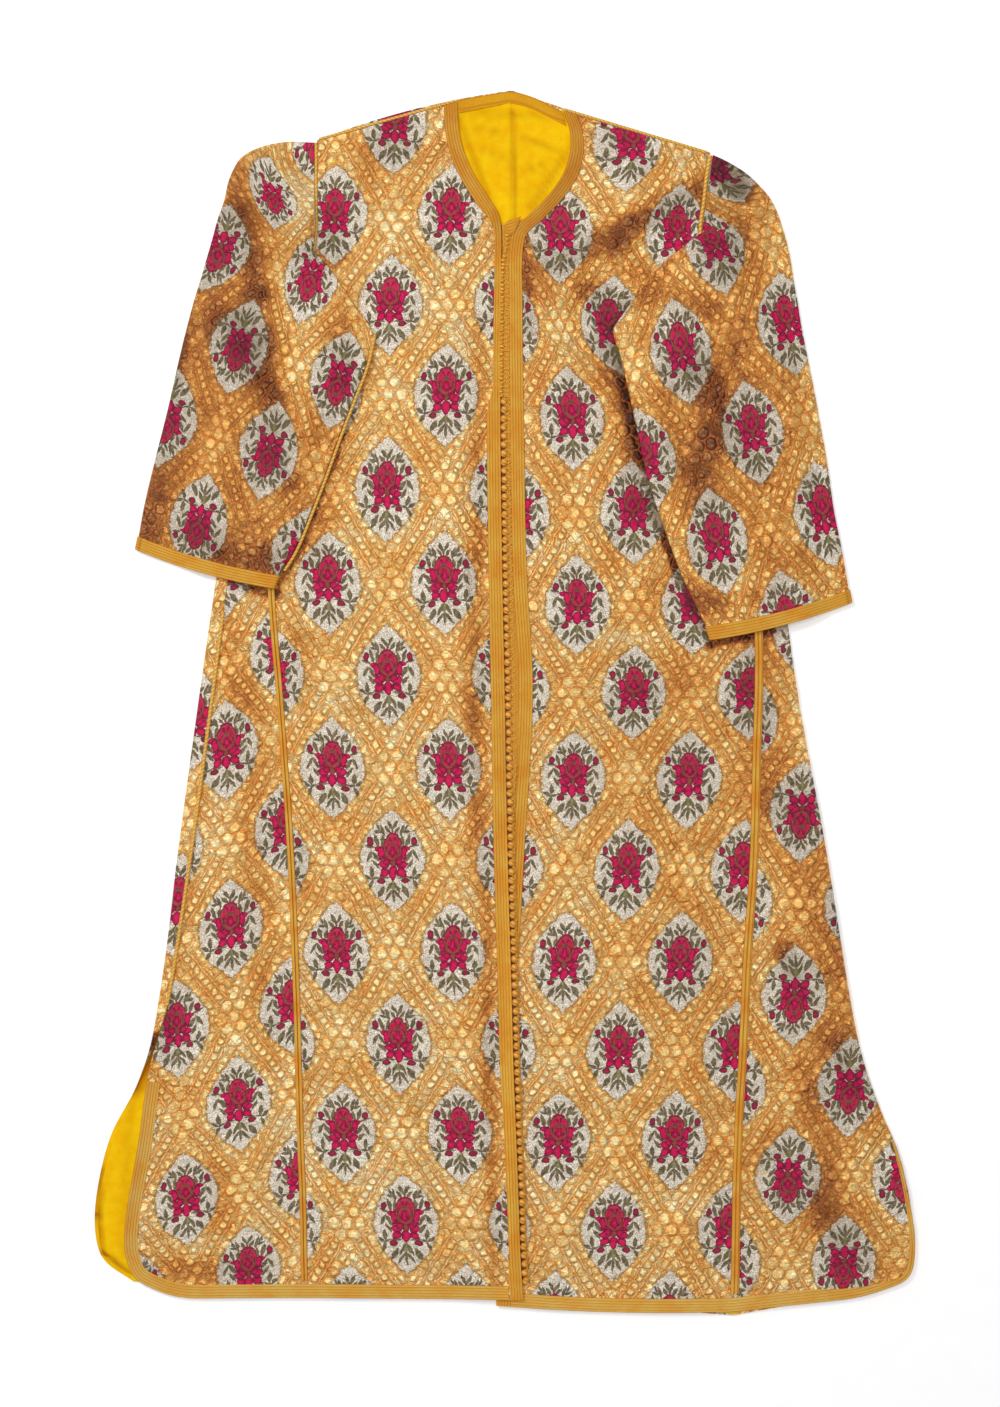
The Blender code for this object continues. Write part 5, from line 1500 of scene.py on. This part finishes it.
def knots():
    """The knots, the strips under them, the dark one a painted shadow, and the looped braid beside them, in
    one piece.
    """
    silk, shade, bed, pressed_silk, braid = range(5)  # the materials' numbers
    rng = np.random.default_rng(5)
    points, faces, uv, picks = [], [], [], []

    def add(part, pick):
        start = sum(map(len, points))
        points.append(part[0])
        faces.extend([start + k for k in face] for face in part[1])
        uv.append(part[2])
        picks.extend([pick] * len(part[1]))

    def seat(y):
        """x and z of the row of knots at y."""
        return down(EDGE[True], y) + KNOT_OUT, down(np.array(KNOT_HEIGHTS)[:, ::-1], y)

    pressed = np.arange(PRESSED_FROM, PRESSED_TO, -PRESSED_PITCH)
    for y in pressed:
        x, z = seat(y)
        dx, dy, dz = rng.uniform(-0.6, 0.6, 3)
        x += np.interp(-y, *np.array(PRESSED_ASIDE).T) + dx
        place = (x, y + dy, z - 0.8 + dz * 0.5)
        add(ball(place, PRESSED_SIZE, rng.uniform(0, 6), 6, 8), pressed_silk)
    for y in np.arange(pressed[-1] - PRESSED_PITCH - 2.0, KNOT_END, -KNOT_PITCH):
        x, z = seat(y)
        dx, dy, dz = rng.uniform(-0.35, 0.35, 3)
        size = (KNOT_SIZE[0] + rng.uniform(-0.2, 0.2), *KNOT_SIZE[1:])
        add(ball((x + 0.4 + dx, y + dy, z + dz * 0.5), size, rng.uniform(0, 6)), silk)
    # small loops of cord, between the knots and the right front's edge
    a = np.linspace(-0.2, math.pi + 0.2, 10)
    for y in np.arange(PRESSED_FROM - 40, LOOPS_TO - 0.1, -LOOP_PITCH):
        x, z = seat(y)
        room = max(1.5, down(EDGE[False], y) - x - 2.0)
        reach = min(7.0, room + 1.5) * rng.uniform(0.75, 1.1)
        tall, lean = rng.uniform(2.0, 3.2), rng.uniform(-1.0, 1.0)
        side, rise = np.sin(a), np.cos(a)
        loop = np.stack([x + 1.8 + reach * side, y + tall * rise + lean * side, z - 0.9 - 0.4 * side], -1)
        add(cord_along(loop, 0.8, 6), pressed_silk)
    # what lies under them: a dark strip of painted shadow beneath the knots, a golden strip beneath the
    # loops
    y = np.arange(PRESSED_FROM + 3, KNOT_END - 3, -4.0)[:, None]
    left = down(EDGE[True], y) - 0.4
    right = np.maximum(left + BED_WIDE, np.where(y > LOOPS_TO, down(EDGE[False], y) + 1.0, -1e3))
    dark = left + np.where(y > PRESSED_TO, 1.2, 5.4)
    shares = np.linspace(0, 1, 7)
    level = seat(y)[1] - 2.6 + 0.5 * np.sin(math.pi * shares) + 0.25 * np.sin(y / 1.7)
    for a, b, pick, rise in ((left, dark, shade, 0.0), (dark, right, bed, 0.3)):
        x = a + (b - a) * shares
        add(strip(x, y, level + rise, (x - a, y)), pick)
    # the end of the left front's braid, folded over the first knots
    above, below = spread(FLAP_TOP, 1.5), spread(FLAP_LOW, counts=counted(FLAP_TOP, 1.5))
    shares = np.linspace(0, 1, 9)
    x, y = between(above, below, shares)
    z = FLAP_HEIGHT + 0.9 * np.sin(math.pi * shares) ** 0.6 + 0.5 * ease(1 - shares * 4)
    for level, flip in ((z, True), (z - 0.9, False)):
        add(strip(x, y, level, (shares * 14, x), flip), braid)
    materials = (KNOT_SILK, KNOT_SHADE, KNOT_BED, KNOT_PRESSED, SFIFA)
    made = build("knot_row", np.concatenate(points), faces, np.concatenate(uv), None, materials, picks)
    dress(made, "knots")


# ---------------------------------------------------------------- the picture

WORLD = 0.34
# (name, place, target, width, length, power), in metres and watts
LIGHTS = (
    ("overhead", (-0.05, 0.35, 4.6), (-0.05, 0.35, 0), 1.7, 2.5, 92.0),
    ("key", (-1.9, 1.7, 3.3), (0, 0, 0), 0.8, 0.8, 56.0),
)
FLOOR_SIZE, FLOOR_Z = 6.0, -0.0006
CAMERA_PLACE, LENS, SENSOR = (-0.00575, -0.0006, 3.596), 80.0, 36.0  # straight above, looking down


def placed(name, data, place=(0, 0, 0)):
    """A new object in the scene."""
    made = bpy.data.objects.new(name, data)
    made.location = place
    bpy.context.scene.collection.objects.link(made)
    return made


def studio():
    mesh = bpy.data.meshes.new("floor")
    corners = [(x * FLOOR_SIZE, y * FLOOR_SIZE, FLOOR_Z) for x, y in ((-1, -1), (1, -1), (1, 1), (-1, 1))]
    mesh.from_pydata(corners, [], [(0, 1, 2, 3)])
    mesh.materials.append(plain_floor())
    placed("floor", mesh)

    world = bpy.data.worlds.new("studio")
    world.use_nodes = True
    back = world.node_tree.nodes["Background"]
    back.inputs["Color"].default_value = (1.0, 1.0, 1.0, 1.0)
    back.inputs["Strength"].default_value = WORLD
    bpy.context.scene.world = world

    for name, place, target, wide, tall, power in LIGHTS:
        data = bpy.data.lights.new(name, "AREA")
        data.shape = "RECTANGLE"
        data.size, data.size_y, data.energy = wide, tall, power
        aim = np.subtract(target, place)
        turn = math.atan2(-aim[0], aim[1]) if aim[0] or aim[1] else 0.0
        placed(name, data, place).rotation_euler = math.acos(-aim[2] / np.linalg.norm(aim)), 0.0, turn

    data = bpy.data.cameras.new("camera")
    data.lens, data.sensor_width = LENS, SENSOR
    bpy.context.scene.camera = placed("camera", data, CAMERA_PLACE)


bpy.context.scene.view_settings.view_transform = "Standard"
studio()
front(True)
front(False)
front_gore_left()
front_gore_right()
back_gore_left()
flat_layers()
sleeve(True, SLEEVE_LEFT, SLEEVE_LEFT_FOLDS, CLOTH_SLEEVE_LEFT, SLEEVE_LEFT_SHADE_STROKES, 11)
sleeve(False, SLEEVE_RIGHT, SLEEVE_RIGHT_FOLDS, CLOTH_SLEEVE_RIGHT, SLEEVE_RIGHT_SHADE_STROKES, 15)
front_braids()
gore_tapes()
hem_bands()
neck_facing()
pipings()
knots()
for made, wide, tall, area, rests_on in SHEETS:
    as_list(rests_on)

bpy.context.view_layer.update()
